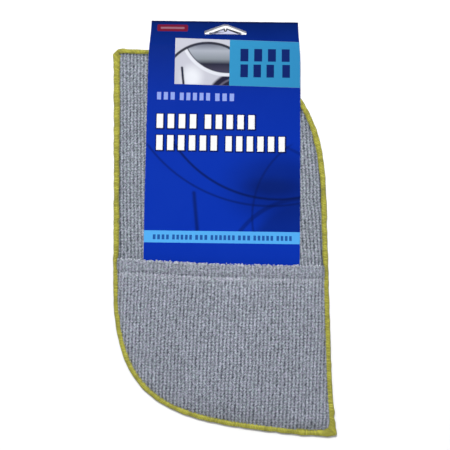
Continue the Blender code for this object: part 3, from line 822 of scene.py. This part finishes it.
def prism(name, points, low, high):
    """Closed solid drawn up from an outline."""
    form = bmesh.new()
    face = form.faces.new([form.verts.new((p[0] * MM, p[1] * MM, low * MM)) for p in points])
    drawn = bmesh.ops.extrude_face_region(form, geom=[face], use_keep_orig=True)["geom"]
    bmesh.ops.translate(form, verts=[g for g in drawn if isinstance(g, bmesh.types.BMVert)],
                        vec=(0, 0, (high - low) * MM))
    bmesh.ops.recalc_face_normals(form, faces=form.faces[:])
    mesh = bpy.data.meshes.new(name)
    form.to_mesh(mesh)
    form.free()
    return new_object(name, mesh)


def flat_leaf(name, length):
    """A closed slab of board with two rounded lower corners, before its hole is cut."""
    ends = np.concatenate((np.linspace(-FOLD_GAP, -26.0, 30), np.linspace(-28.0, -length, 75)))
    u, v = np.meshgrid(np.linspace(-1.0, 1.0, 59), ends)
    corner = np.clip((v + length) / 2.5, 0, 1)
    u = u * (card_half_width(v) - 1.2 * (1 - np.sqrt(1 - (1 - corner) ** 2)))
    top = np.stack((u, v, np.full_like(u, BOARD / 2)), axis=-1).reshape(-1, 3)
    count = len(top)
    faces = grid_quads(*u.shape)[:, ::-1]
    index = np.arange(count).reshape(u.shape)
    ring = np.concatenate((index[0], index[1:, -1], index[-1, -2::-1], index[-2:0:-1, 0]))
    turned = np.roll(ring, -1)
    walls = quads_of(ring, turned, turned + count, ring + count)
    quads = np.vstack((faces, faces[:, ::-1] + count, walls))
    leaf = new_mesh(name, np.vstack((top, top * (1, 1, -1))), quads, {}, about=0.0)
    face_outward(leaf.data)
    return leaf


def cut_hole(leaf):
    cutter = prism("hole_cutter", rounded(HOLE, HOLE_ROUND), -3.0, 3.0)
    tool = leaf.modifiers.new("hole", "BOOLEAN")
    tool.operation = "DIFFERENCE"
    tool.solver = "EXACT"
    tool.object = cutter
    evaluated = leaf.evaluated_get(bpy.context.evaluated_depsgraph_get())
    mesh = bpy.data.meshes.new_from_object(evaluated)
    leaf.modifiers.clear()
    leaf.data = mesh
    bpy.data.objects.remove(cutter, do_unlink=True)


def make_leaf(name, middle, outer_up):
    """One leaf of the card: a board with the delta hole through it, bent to lie where the CAD leaf does.

    Its faces take material 0 on the printed side, 1 on the inside and 2 on the cut edges.
    """
    leaf = flat_leaf(name, CARD_LENGTH)
    cut_hole(leaf)
    mesh = leaf.data
    outer = 1.0 if outer_up else -1.0
    tilts = [face.normal.z * outer for face in mesh.polygons]
    mesh.polygons.foreach_set("material_index", [0 if t > 0.5 else 1 if t < -0.5 else 2 for t in tilts])
    co = np.empty(len(mesh.vertices) * 3, np.float32)
    mesh.vertices.foreach_get("co", co)
    co = co.reshape(-1, 3) / MM
    set_fields(mesh, card_fields(co))
    co[:, 2] += middle(co[:, 1], co[:, 0])
    mesh.vertices.foreach_set("co", (co * MM).astype(np.float32).ravel())
    mesh.transform(CARD)
    mesh.shade_smooth()
    mesh.set_sharp_from_angle(angle=radians(35))
    return leaf


def make_fold():
    """The board's bent nose along the fold, from the front leaf's end round to the rear leaf's."""
    turn = np.radians(np.linspace(90, -90, 17))
    centre = (FRONT_MID_FOLD + REAR_MID) / 2
    outside = (FRONT_MID_FOLD - REAR_MID + BOARD) / 2
    inside = outside - BOARD
    half_width = float(card_half_width(np.array(-FOLD_GAP)))
    rings = []
    for u in np.linspace(-1.0, 1.0, 45):
        crease = 0.03 * sin(u * 23.0) + 0.02 * sin(u * 61.0)
        outer = [(-FOLD_GAP + (outside + crease) * cos(a), centre + outside * sin(a)) for a in turn]
        inner = [(-FOLD_GAP + inside * cos(a), centre + inside * sin(a)) for a in turn[::-1]]
        rings.append([(u * half_width, y, z) for y, z in outer + inner])
    rings = np.array(rings)
    count, around, _ = rings.shape
    cap = np.array([(k, k + 1, around - 2 - k, around - 1 - k) for k in range(around // 2 - 1)])
    quads = np.vstack((ring_quads(count, around), cap[:, ::-1], cap + (count - 1) * around))
    points = rings.reshape(-1, 3)
    item = new_mesh("card_crease", points, quads, card_fields(points), about=0.0)
    item.data.transform(CARD)
    item.data.set_sharp_from_angle(angle=radians(40))
    return item


def make_tab():
    """The low split triangle in the hang hole; its faces take material 1, a dark painted shadow, along its
    two slanted sides.
    """
    shoulder = TAB_HEIGHT - 0.15
    points = ((-TAB_HALF, 0.0), (TAB_HALF, 0.0), (TAB_SPLIT_HALF, shoulder),
              (0.0, TAB_HEIGHT - TAB_SPLIT_DEPTH), (-TAB_SPLIT_HALF, shoulder))
    item = prism("card_tab", rounded(points, 0.1, 4), -BOARD / 2, BOARD / 2)
    form = bmesh.new()
    form.from_mesh(item.data)
    top = [face for face in form.faces if face.normal.z > 0.9]
    border = bmesh.ops.inset_region(form, faces=top, thickness=TAB_SHADOW_WIDTH * MM)["faces"]
    walls = [face for face in form.faces if abs(face.normal.z) < 0.5]
    for faces, foot in ((border, 0.8), (walls, 0.2)):
        for face in faces:
            if face.calc_center_median().y > foot * MM:
                face.material_index = 1
    form.to_mesh(item.data)
    form.free()
    item.data.transform(hinge_frame(TAB) @ Matrix.Rotation(-atan(FRONT_SLOPE), 4, "X"))
    item.data.shade_smooth()
    item.data.set_sharp_from_angle(angle=radians(50))
    return item


# ---- materials

def linear(red, green, blue, gain=GAIN):
    """Linear colour from 0-255 display values."""
    out = []
    for value in (red / 255, green / 255, blue / 255):
        out.append((value / 12.92 if value <= 0.04045 else ((value + 0.055) / 1.055) ** 2.4) * gain)
    return (*out, 1.0)


class Shader:
    """A node material and short ways to add to it."""

    def __init__(self, name, roughness, specular, sheen=0.0):
        self.material = bpy.data.materials.new(name)
        self.material.use_nodes = True
        self.tree = self.material.node_tree
        self.surface = self.tree.nodes["Principled BSDF"].inputs
        self.surface["Roughness"].default_value = roughness
        self.surface["Specular IOR Level"].default_value = specular
        if sheen:
            self.surface["Sheen Weight"].default_value = sheen
            self.surface["Sheen Roughness"].default_value = 0.6
        self.place = self.node("TexCoord").outputs["Object"]

    def put(self, socket, value):
        if isinstance(value, bpy.types.NodeSocket):
            self.tree.links.new(value, socket)
        elif value is not None:
            socket.default_value = value

    def node(self, kind, *values, **settings):
        """Add a node with these settings, and with these values or links for its first inputs."""
        node = self.tree.nodes.new("ShaderNode" + kind)
        for key, setting in settings.items():
            setattr(node, key, setting)
        for socket, value in zip(node.inputs, values):
            self.put(socket, value)
        return node

    def math(self, operation, a, b=None):
        return self.node("Math", a, b, operation=operation).outputs[0]

    def vector(self, operation, a, b=None):
        out = "Value" if operation in ("LENGTH", "DOT_PRODUCT") else "Vector"
        return self.node("VectorMath", a, b, operation=operation).outputs[out]

    def scaled(self, vector, scale):
        node = self.node("VectorMath", vector, operation="SCALE")
        self.put(node.inputs["Scale"], scale)
        return node.outputs["Vector"]

    def mix(self, factor, a, b, blend="MIX"):
        node = self.node("Mix", factor, data_type="RGBA", blend_type=blend)
        self.put(node.inputs[6], a)
        self.put(node.inputs[7], b)
        return node.outputs[2]

    def product(self, *values):
        out = values[0]
        for value in values[1:]:
            out = self.math("MULTIPLY", out, value)
        return out

    def shaded(self, colour, *levels):
        """A colour with its brightness multiplied by each level."""
        return self.mix(1.0, colour, self.scaled((1.0, 1.0, 1.0), self.product(*levels)), "MULTIPLY")

    def span(self, value, low, high, start=0.0, end=1.0, kind="SMOOTHSTEP"):
        return self.node("MapRange", value, low, high, start, end, interpolation_type=kind).outputs[0]

    def ramp(self, factor, stops):
        node = self.node("ValToRGB", factor)
        elements = node.color_ramp.elements
        while len(elements) < len(stops):
            elements.new(0.5)
        for element, (position, colour) in zip(elements, stops):
            element.position = position
            element.color = colour
        return node.outputs[0]

    def tones(self, factor, stops):
        """Ramp of display colours."""
        return self.ramp(factor, [(position, linear(*colour)) for position, colour in stops])

    def noise(self, scale, detail, rough):
        node = self.node("TexNoise", self.place)
        for key, value in (("Scale", scale), ("Detail", detail), ("Roughness", rough)):
            node.inputs[key].default_value = value
        return node.outputs[0]

    def field(self, name):
        return self.node("Attribute", attribute_name=name).outputs["Fac"]

    def bump(self, height, strength, distance):
        node = self.node("Bump")
        node.inputs["Strength"].default_value = strength
        node.inputs["Distance"].default_value = distance
        self.put(node.inputs["Height"], height)
        self.put(self.surface["Normal"], node.outputs[0])

    def finished(self, colour):
        self.put(self.surface["Base Color"], colour)
        return self.material


STRAY_HUES = ((0.35, (0.92, 1.05, 0.96, 1)), (0.65, (1.06, 0.97, 1.07, 1)))


def cloth_material(name, dark, mid, light):
    """Pile with painted shade that darkens its grooves, with grains of loops and a little stray hue."""
    look = Shader(name, roughness=0.95, specular=0.12, sheen=0.12)
    fibre = look.span(look.noise(2600.0, 3.0, 0.7), 0.3, 0.7, -0.10, 0.10)
    base = look.tones(look.math("ADD", look.field("pile"), fibre), ((0.0, dark), (0.5, mid), (1.0, light)))
    patch = look.span(look.noise(38.0, 3.0, 0.6), 0.3, 0.7, 0.96, 1.04)
    grain = look.span(look.noise(1250.0, 1.0, 0.5), 0.36, 0.64, 0.64, 1.36)
    base = look.shaded(base, patch, grain, look.span(look.field("tone"), 0.15, 0.85, 0.91, 1.09))
    hue = look.ramp(look.noise(800.0, 1.0, 0.5), STRAY_HUES)
    look.bump(look.noise(3200.0, 3.0, 0.7), 0.5, 0.00025)
    return look.finished(look.mix(0.8, base, hue, "MULTIPLY"))


def looper_material(name, dark, mid, light):
    """Looper threads: painted shade between the ridges, and each of them a little lighter or darker."""
    look = Shader(name, roughness=0.7, specular=0.25, sheen=0.1)
    base = look.tones(look.field("pile"), ((0.0, dark), (0.45, mid), (1.0, light)))
    base = look.shaded(base, look.span(look.field("tone"), 0.0, 1.0, 0.84, 1.16),
                       look.span(look.noise(900.0, 2.0, 0.6), 0.3, 0.7, 0.88, 1.12),
                       look.span(look.noise(230.0, 1.0, 0.5), 0.35, 0.65, 0.90, 1.10))
    look.bump(look.noise(5200.0, 2.0, 0.6), 0.35, 0.0002)
    return look.finished(base)


def plain_thread(name, colour):
    look = Shader(name, roughness=0.65, specular=0.3, sheen=0.1)
    twist = look.noise(1800.0, 2.0, 0.6)
    look.bump(twist, 0.4, 0.0002)
    twist = look.span(twist, 0.35, 0.65)
    return look.finished(look.mix(twist, linear(*colour, GAIN * 0.7), linear(*colour)))


def board_material(name, colour, gain=GAIN, roughness=0.6):
    """Uncoated board: pale, with fibres and faint mottling."""
    look = Shader(name, roughness=roughness, specular=0.25)
    fibre = look.noise(900.0, 4.0, 0.65)
    patch = look.span(look.noise(60.0, 2.0, 0.5), 0.3, 0.7, 0.0, 0.12)
    base = look.mix(look.span(fibre, 0.35, 0.65), linear(*colour, gain * 0.92), linear(*colour, gain))
    look.bump(fibre, 0.25, 0.0001)
    return look.finished(look.mix(patch, base, linear(200, 196, 190, gain)))


# ---- print on the card

# Rows of blocks where the words are: left, right, top and bottom edge in millimetres, and their count
PANEL_WORDS = ((12.1, 49.1, -22.2, -32.0, 4), (12.2, 37.4, -34.4, -44.4, 3), (43.6, 49.3, -34.4, -44.4, 1))
LEAD_WORDS = ((-49.8, -36.6, -56.6, -62.4, 3), (-32.8, -10.2, -56.9, -62.7, 5),
              (-6.4, 7.7, -57.2, -63.0, 3))
HEADLINE_WORDS = ((-49.6, -20.2, -73.4, -84.2, 4), (-13.8, 23.2, -73.6, -84.4, 5),
                  (-49.5, -4.6, -89.6, -100.9, 6), (1.8, 45.6, -89.9, -101.2, 6))
# Those on the pale strip: left and right edge, and their count
STRIP_WORDS = ((-50.3, -38.6, 4), (-36.2, -21.8, 5), (-19.4, -10.6, 3), (-8.2, 9.4, 6), (11.8, 20.6, 3),
               (23.0, 37.4, 5), (39.8, 50.9, 4))


class Print(Shader):
    """Printed board: flat shapes laid over each other in the card's own millimetres."""

    def __init__(self, name, ground):
        super().__init__(name, roughness=0.5, specular=0.012)
        self.u, self.v = self.field("card_u"), self.field("card_v")
        self.point = self.node("CombineXYZ", self.u, self.v).outputs[0]
        self.base = self.tones(self.math("DIVIDE", self.v, -CARD_LENGTH), ground)

    def draw(self, colour, *masks, strength=1.0):
        """Lay a display colour or a socket's colour over the print, where all the masks are."""
        mask = self.product(*masks)
        if strength != 1.0:
            mask = self.math("MULTIPLY", mask, strength)
        self.base = self.mix(mask, self.base, linear(*colour) if isinstance(colour, tuple) else colour)

    def away(self, centre):
        """Vector from a place on the card."""
        return self.vector("SUBTRACT", self.point, (*centre, 0))

    def box(self, u0, v0, u1, v1, turn=0.4, soft=0.12):
        """Mask of a rectangle with rounded corners."""
        half = (abs(u1 - u0) / 2 - turn, abs(v1 - v0) / 2 - turn, 9.0)
        off = self.vector("ABSOLUTE", self.away(((u0 + u1) / 2, (v0 + v1) / 2)))
        past = self.vector("MAXIMUM", self.vector("SUBTRACT", off, half), (0, 0, 0))
        return self.span(self.vector("LENGTH", past), turn + soft, turn - soft)

    def stroke(self, off, width, soft):
        """Mask of a stroke, from the distance to its middle line."""
        return self.span(off, width / 2 + soft, max(width / 2 - soft, 0.0))

    def line(self, start, end, width, soft):
        run = Vector(end) - Vector(start)
        arm = self.away(start)
        share = self.math("DIVIDE", self.vector("DOT_PRODUCT", arm, (*run, 0)), run.length_squared)
        share = self.math("MINIMUM", self.math("MAXIMUM", share, 0.0), 1.0)
        off = self.vector("SUBTRACT", arm, self.scaled((*run, 0), share))
        return self.stroke(self.vector("LENGTH", off), width, soft)

    def arc(self, centre, radius, width, soft):
        off = self.math("SUBTRACT", self.vector("LENGTH", self.away(centre)), radius)
        return self.stroke(self.math("ABSOLUTE", off), width, soft)

    def disc(self, centre, radius, soft):
        return self.span(self.vector("LENGTH", self.away(centre)), radius + soft, radius - soft)

    def ellipse(self, centre, half, soft):
        off = self.vector("DIVIDE", self.away(centre), (*half, 1.0))
        return self.span(self.vector("LENGTH", off), 1 + soft, 1 - soft)

    def beyond(self, normal, distance, soft=0.15):
        """Mask of the half plane past a line."""
        along = self.vector("DOT_PRODUCT", self.point, (*normal, 0))
        return self.span(along, distance - soft, distance + soft)

    def band(self, high, low, soft):
        """Mask of the card between two distances below the fold."""
        return self.product(self.beyond((0, -1), high, soft), self.beyond((0, 1), -low, soft))

    def word(self, u0, u1, v0, v1, count, share, soft=0.12):
        """Mask of a row of plain upright blocks, which stands where a word is."""
        pitch = (u1 - u0) / (count - 1 + share)
        part = self.math("FRACT", self.math("DIVIDE", self.math("SUBTRACT", self.u, u0 - pitch), pitch))
        off = self.math("ABSOLUTE", self.math("SUBTRACT", part, share / 2))
        return self.product(self.box(u0 - soft, v0, u1 + soft, v1, 0.4, soft),
                            self.span(off, share / 2 + soft / pitch, share / 2 - soft / pitch))

    def finish(self, patch_colour, patch_strength):
        """Painted shade along the fold, faint patches in the ink, and the board's unevenness."""
        self.draw((3, 16, 66), self.span(self.v, -1.9, -0.6), strength=0.8)
        self.draw(patch_colour, self.span(self.noise(26.0, 3.0, 0.6), 0.35, 0.7, 0.0, patch_strength))
        self.bump(self.noise(420.0, 3.0, 0.6), 0.08, 0.0002)
        return self.finished(self.base)


def draw_ground(art):
    """Soft generic arcs in the ground."""
    faint, deep = (4, 34, 122), (3, 22, 84)
    window = art.product(art.beyond((0, -1), 96.0, 3.0), art.beyond((0, 1), -161.0, 0.2))
    for colour, mask, strength in ((faint, art.ellipse((44.0, -128.0), (34.0, 24.0), 0.6), 0.75),
                                   (faint, art.disc((70.0, -190.0), 54.0, 5.0), 0.7),
                                   (deep, art.arc((40.0, -46.0), 91.0, 1.5, 0.9), 0.85),
                                   (deep, art.arc((34.0, -30.0), 112.0, 1.2, 0.9), 0.6),
                                   (deep, art.arc((62.0, -196.0), 60.0, 3.0, 0.9), 0.5),
                                   (deep, art.arc((88.0, -150.0), 66.0, 1.2, 0.9), 0.5),
                                   (deep, art.ellipse((37.5, -128.0), (18.0, 6.5), 0.7), 0.5),
                                   (deep, art.line((-20.9, -133.0), (-17.9, -161.5), 2.6, 1.2), 0.7)):
        art.draw(colour, mask, window, strength=strength)
    art.draw(faint, art.line((44.2, -96.5), (57.5, -102.9), 2.2, 0.8), strength=0.6)


def draw_picture(art):
    """A picture of plain curved panels, and a light panel beside it with rows of blocks."""
    top_circle, arch_circle, low_circle = (2.0, -8.0), (-12.0, -52.0), (12.0, -66.0)
    panels = art.product(art.beyond((-0.0250, -0.9997), 14.9), art.beyond((0.0190, 0.9998), -50.9),
                         art.beyond((1.0, 0.0), -37.0))
    art.draw((204, 205, 217), panels)
    art.draw((240, 243, 250), art.ellipse((-24.0, -45.0), (7.0, 8.0), 0.7), panels)
    art.draw((36, 34, 52), art.disc(low_circle, 26.0, 1.2), panels)
    art.draw((120, 118, 136), art.arc(low_circle, 21.0, 1.0, 0.9), panels, strength=0.7)
    arch = art.disc(arch_circle, 33.6, 0.4)
    glass = art.tones(art.span(art.v, -18.0, -42.0, kind="LINEAR"),
                      ((0.0, (96, 100, 116)), (0.25, (176, 182, 194)), (0.52, (142, 150, 158)),
                       (0.68, (44, 44, 58)), (1.0, (78, 74, 92))))
    art.draw(glass, arch, art.disc(top_circle, 33.0, 0.3), panels)
    art.draw((232, 235, 244), art.arc(top_circle, 34.6, 2.6, 0.5), panels, arch)
    art.draw((40, 42, 60), art.arc(top_circle, 33.0, 0.8, 0.4), panels, arch, strength=0.8)
    art.draw((20, 22, 36), art.arc(arch_circle, 34.2, 2.0, 0.5), panels, strength=0.95)
    art.draw((12, 14, 34), art.line((-31.6, -37.5), (-30.2, -51.0), 1.7, 0.6), panels)
    side = art.math("ADD", art.u, art.math("MULTIPLY", art.v, -0.003))
    light = art.tones(art.span(art.u, 4.0, 57.0, kind="LINEAR"),
                      ((0.0, (52, 150, 200)), (1.0, (50, 143, 194))))
    art.draw(light, panels, art.span(side, 3.95, 4.2))
    for row in PANEL_WORDS:
        art.draw((13, 36, 105), art.word(*row, 0.58))


def draw_words(art):
    """Rows of blocks where the words are, the pale strip, and a plain bar at the top left."""
    for row in LEAD_WORDS:
        art.draw((150, 170, 240), art.word(*row, 0.60))
    share = 0.58
    for u0, u1, v0, v1, count in HEADLINE_WORDS:
        shadow_share = share + 2.0 * (count - 1 + share) / (u1 - u0)
        shadow = art.word(u0 - 0.8, u1 + 1.2, v0 + 0.6, v1 - 1.1, count, shadow_share, 0.4)
        art.draw((2, 10, 62), shadow, strength=0.85)
        art.draw((255, 255, 255), art.word(u0, u1, v0, v1, count, share))
    art.draw((89, 182, 253), art.band(161.1, 169.9, 0.12))
    for u0, u1, count in STRIP_WORDS:
        art.draw((16, 60, 150), art.word(u0, u1, -164.0, -167.6, count, 0.62), strength=0.85)
    art.draw((120, 22, 44), art.box(-51.0, -2.9, -27.8, -8.5, 1.2, 0.2))
    art.draw((186, 150, 166), art.box(-48.4, -4.9, -30.4, -6.5, 0.6, 0.3), strength=0.45)


def front_print():
    art = Print("card_front_print", ((0.0, (2, 31, 102)), (0.09, (3, 39, 132)), (0.28, (4, 46, 163)),
                                     (0.5, (5, 51, 177)), (0.78, (6, 52, 181))))
    draw_ground(art)
    draw_picture(art)
    draw_words(art)
    # Scuffs along the two long edges
    edge = art.math("SUBTRACT", CARD_HALF, art.math("ABSOLUTE", art.u))
    scuff = art.span(art.noise(700.0, 4.0, 0.7), 0.5, 0.62)
    art.draw((120, 140, 190), art.span(edge, 0.9, 0.1), scuff, strength=0.5)
    return art.finish((40, 90, 210), 0.03)


def rear_print():
    """The unseen back of the card: plain blue with rows of blocks, after the front."""
    art = Print("card_rear_print", ((0.0, (3, 32, 108)), (1.0, (9, 49, 176))))
    art.draw((89, 182, 253), art.band(20.0, 30.0, 0.15))
    for k in range(9):
        v = -42.0 - 7.0 * k
        row = art.word(-49.0, 46.0 - 9.0 * (k % 3), v, v - 2.6, 34 - 3 * (k % 3), 0.62)
        art.draw((190, 205, 246), row, strength=0.9)
    art.draw((225, 232, 250), art.box(-30.0, -118.0, 30.0, -150.0, 2.0))
    art.draw((12, 52, 168), art.box(-28.6, -119.4, 28.6, -148.6, 1.4))
    return art.finish((90, 120, 210), 0.05)


# ---- camera, light and floor

def make_camera():
    data = bpy.data.cameras.new("camera")
    data.lens = 72.0
    data.sensor_width = 36.0
    data.clip_start = 0.01
    camera = new_object("camera", data)
    ahead = (TARGET - EYE).normalized()
    right = ahead.cross(UPWARD).normalized()
    turn = Matrix((right, right.cross(ahead), -ahead)).transposed().to_4x4()
    camera.matrix_world = Matrix.Translation(EYE) @ turn
    bpy.context.scene.camera = camera


def make_world():
    """White all round, dimmer from above than from the sides."""
    world = bpy.data.worlds.new("studio")
    world.use_nodes = True
    nodes, links = world.node_tree.nodes, world.node_tree.links
    background = nodes["Background"].inputs
    background["Color"].default_value = (1.0, 1.0, 1.0, 1.0)
    direction = nodes.new("ShaderNodeTexCoord")
    apart = nodes.new("ShaderNodeSeparateXYZ")
    fade = nodes.new("ShaderNodeMapRange")
    for socket, value in zip(fade.inputs[1:], SKY_FADE):
        socket.default_value = value
    links.new(direction.outputs["Generated"], apart.inputs[0])
    links.new(apart.outputs["Z"], fade.inputs[0])
    links.new(fade.outputs[0], background["Strength"])
    bpy.context.scene.world = world
    bpy.context.scene.view_settings.view_transform = "Standard"


def soft_light(name, place, size, energy):
    data = bpy.data.lights.new(name, "AREA")
    data.shape = "DISK"
    data.size = size
    data.energy = energy
    lamp = new_object(name, data)
    lamp.location = place
    lamp.rotation_euler = (-Vector(place)).to_track_quat("-Z", "Y").to_euler()


def make_floor():
    """White paper just under the object, which glows a little far out to stay white there."""
    mesh = bpy.data.meshes.new("floor")
    mesh.from_pydata([(-3, -3, 0), (3, -3, 0), (3, 3, 0), (-3, 3, 0)], [], [(0, 1, 2, 3)])
    floor = new_object("floor", mesh)
    floor.location.z = -0.0002
    look = Shader("floor_white", roughness=0.9, specular=0.1)
    grain = look.span(look.noise(18.0, 3.0, 0.6), 0.3, 0.7, 0.985, 1.0)
    mesh.materials.append(look.finished(look.scaled(FLOOR_WHITE, grain)))
    look.surface["Emission Color"].default_value = (1.0, 1.0, 1.0, 1.0)
    far = look.vector("LENGTH", look.place)
    look.put(look.surface["Emission Strength"], look.span(far, *FLOOR_GLOW))


make_camera()
make_world()
soft_light("key", (-0.14, 0.50, 1.12), 0.14, 14.0)
soft_light("fill", (0.5, -0.3, 1.1), 0.9, 1.0)
make_floor()


# ---- the object

def finish_piece(item, body, slot, nodes, *looks):
    """Give a piece its materials, hang it on its body's empty, and hide the CAD nodes it stands for."""
    for look in looks:
        item.data.materials.append(look)
    if body:
        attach(item, body)
    if nodes:
        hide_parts(*nodes)
    return item


def turn_between(a, b, c):
    """Angle at b between the ways to a and to c."""
    return float(np.arccos(np.dot(a - b, c - b) / np.linalg.norm(a - b) / np.linalg.norm(c - b)))


mitt_cloth = cloth_material("mitt_ribbed_cloth", (66, 71, 82), (132, 138, 149), (172, 177, 188))
pocket_cloth = cloth_material("pocket_ribbed_cloth", (68, 71, 84), (136, 141, 154), (176, 180, 192))
# The loops get a much lighter copy of the cloth: painted highlight where they stand out.
lit_loop_cloth = cloth_material("mouth_loop_cloth", (120, 124, 134), (196, 200, 210), (226, 230, 240))
yellow = looper_material("overlock_yellow", (74, 70, 8), (158, 155, 41), (192, 189, 80))
yellow_thread = plain_thread("needle_yellow", (168, 166, 60))
grey_thread = plain_thread("sewing_grey", (150, 154, 166))
board_inside = board_material("board_inside", (238, 240, 252), 0.95)
board_edge = board_material("board_edge", (232, 234, 250), 0.95, 0.8)
# The tab is white board dimmed to lavender: painted shade inside the hang hole.
tab_board_shaded = board_material("tab_board_shaded", (205, 208, 236))
# Dark painted shadow along the tab's slanted sides and walls.
tab_shadow_line = board_material("tab_shadow_line", (14, 18, 44))
front_look, rear_look = front_print(), rear_print()

face = finish_piece(make_mitt_face(), "mitt", "ribbed_cloth", ["back_panel"], mitt_cloth)
reverse = finish_piece(make_mitt_reverse(), "mitt", "ribbed_cloth", [], mitt_cloth)
pocket = finish_piece(make_pocket(), "mitt", "ribbed_cloth", ["pocket_panel"], pocket_cloth)
lining = finish_piece(make_lining(), "mitt", "ribbed_cloth", [], pocket_cloth)
loops = finish_piece(make_mouth_loops(), "mitt", "ribbed_cloth", [], lit_loop_cloth)

left, right = left_edge(), right_edge()
corner_angles = (turn_between(left[1], left[0], right[1]), turn_between(left[-2], left[-1], right[-2]))
for hand, path, side, widths, seed in (("left", left, 1, LEFT_WIDTHS, 51),
                                       ("right", right, -1, RIGHT_WIDTHS, 53)):
    band, *run = make_overlock("overlock_threads_" + hand, path, side, widths, corner_angles, seed)
    finish_piece(band, "mitt", "overlock_thread", ["overlock_" + hand], yellow)
    needle = make_needle("overlock_stitches_" + hand, *run)
    finish_piece(needle, "mitt", "overlock_thread", ["overlock_" + hand + "_needle"], yellow_thread)

finish_piece(make_hem_thread("hem_stitches", True), "mitt", "sewing_thread", ["hem_thread"], grey_thread)
finish_piece(make_hem_thread("hem_bobbin_stitches", False), "mitt", "sewing_thread", ["hem_bobbin_thread"],
             grey_thread)

finish_piece(make_leaf("card_front_leaf", front_mid, True), "card", "printed_board", ["card_front"],
             front_look, board_inside, board_edge)
finish_piece(make_leaf("card_rear_leaf", rear_mid, False), "rear_leaf", "printed_board", ["card_back"],
             rear_look, board_inside, board_edge)
crease = finish_piece(make_fold(), None, "printed_board", [], front_look)
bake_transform(crease)
finish_piece(make_tab(), "tab", "plain_board", ["hang_tab"], tab_board_shaded, tab_shadow_line)
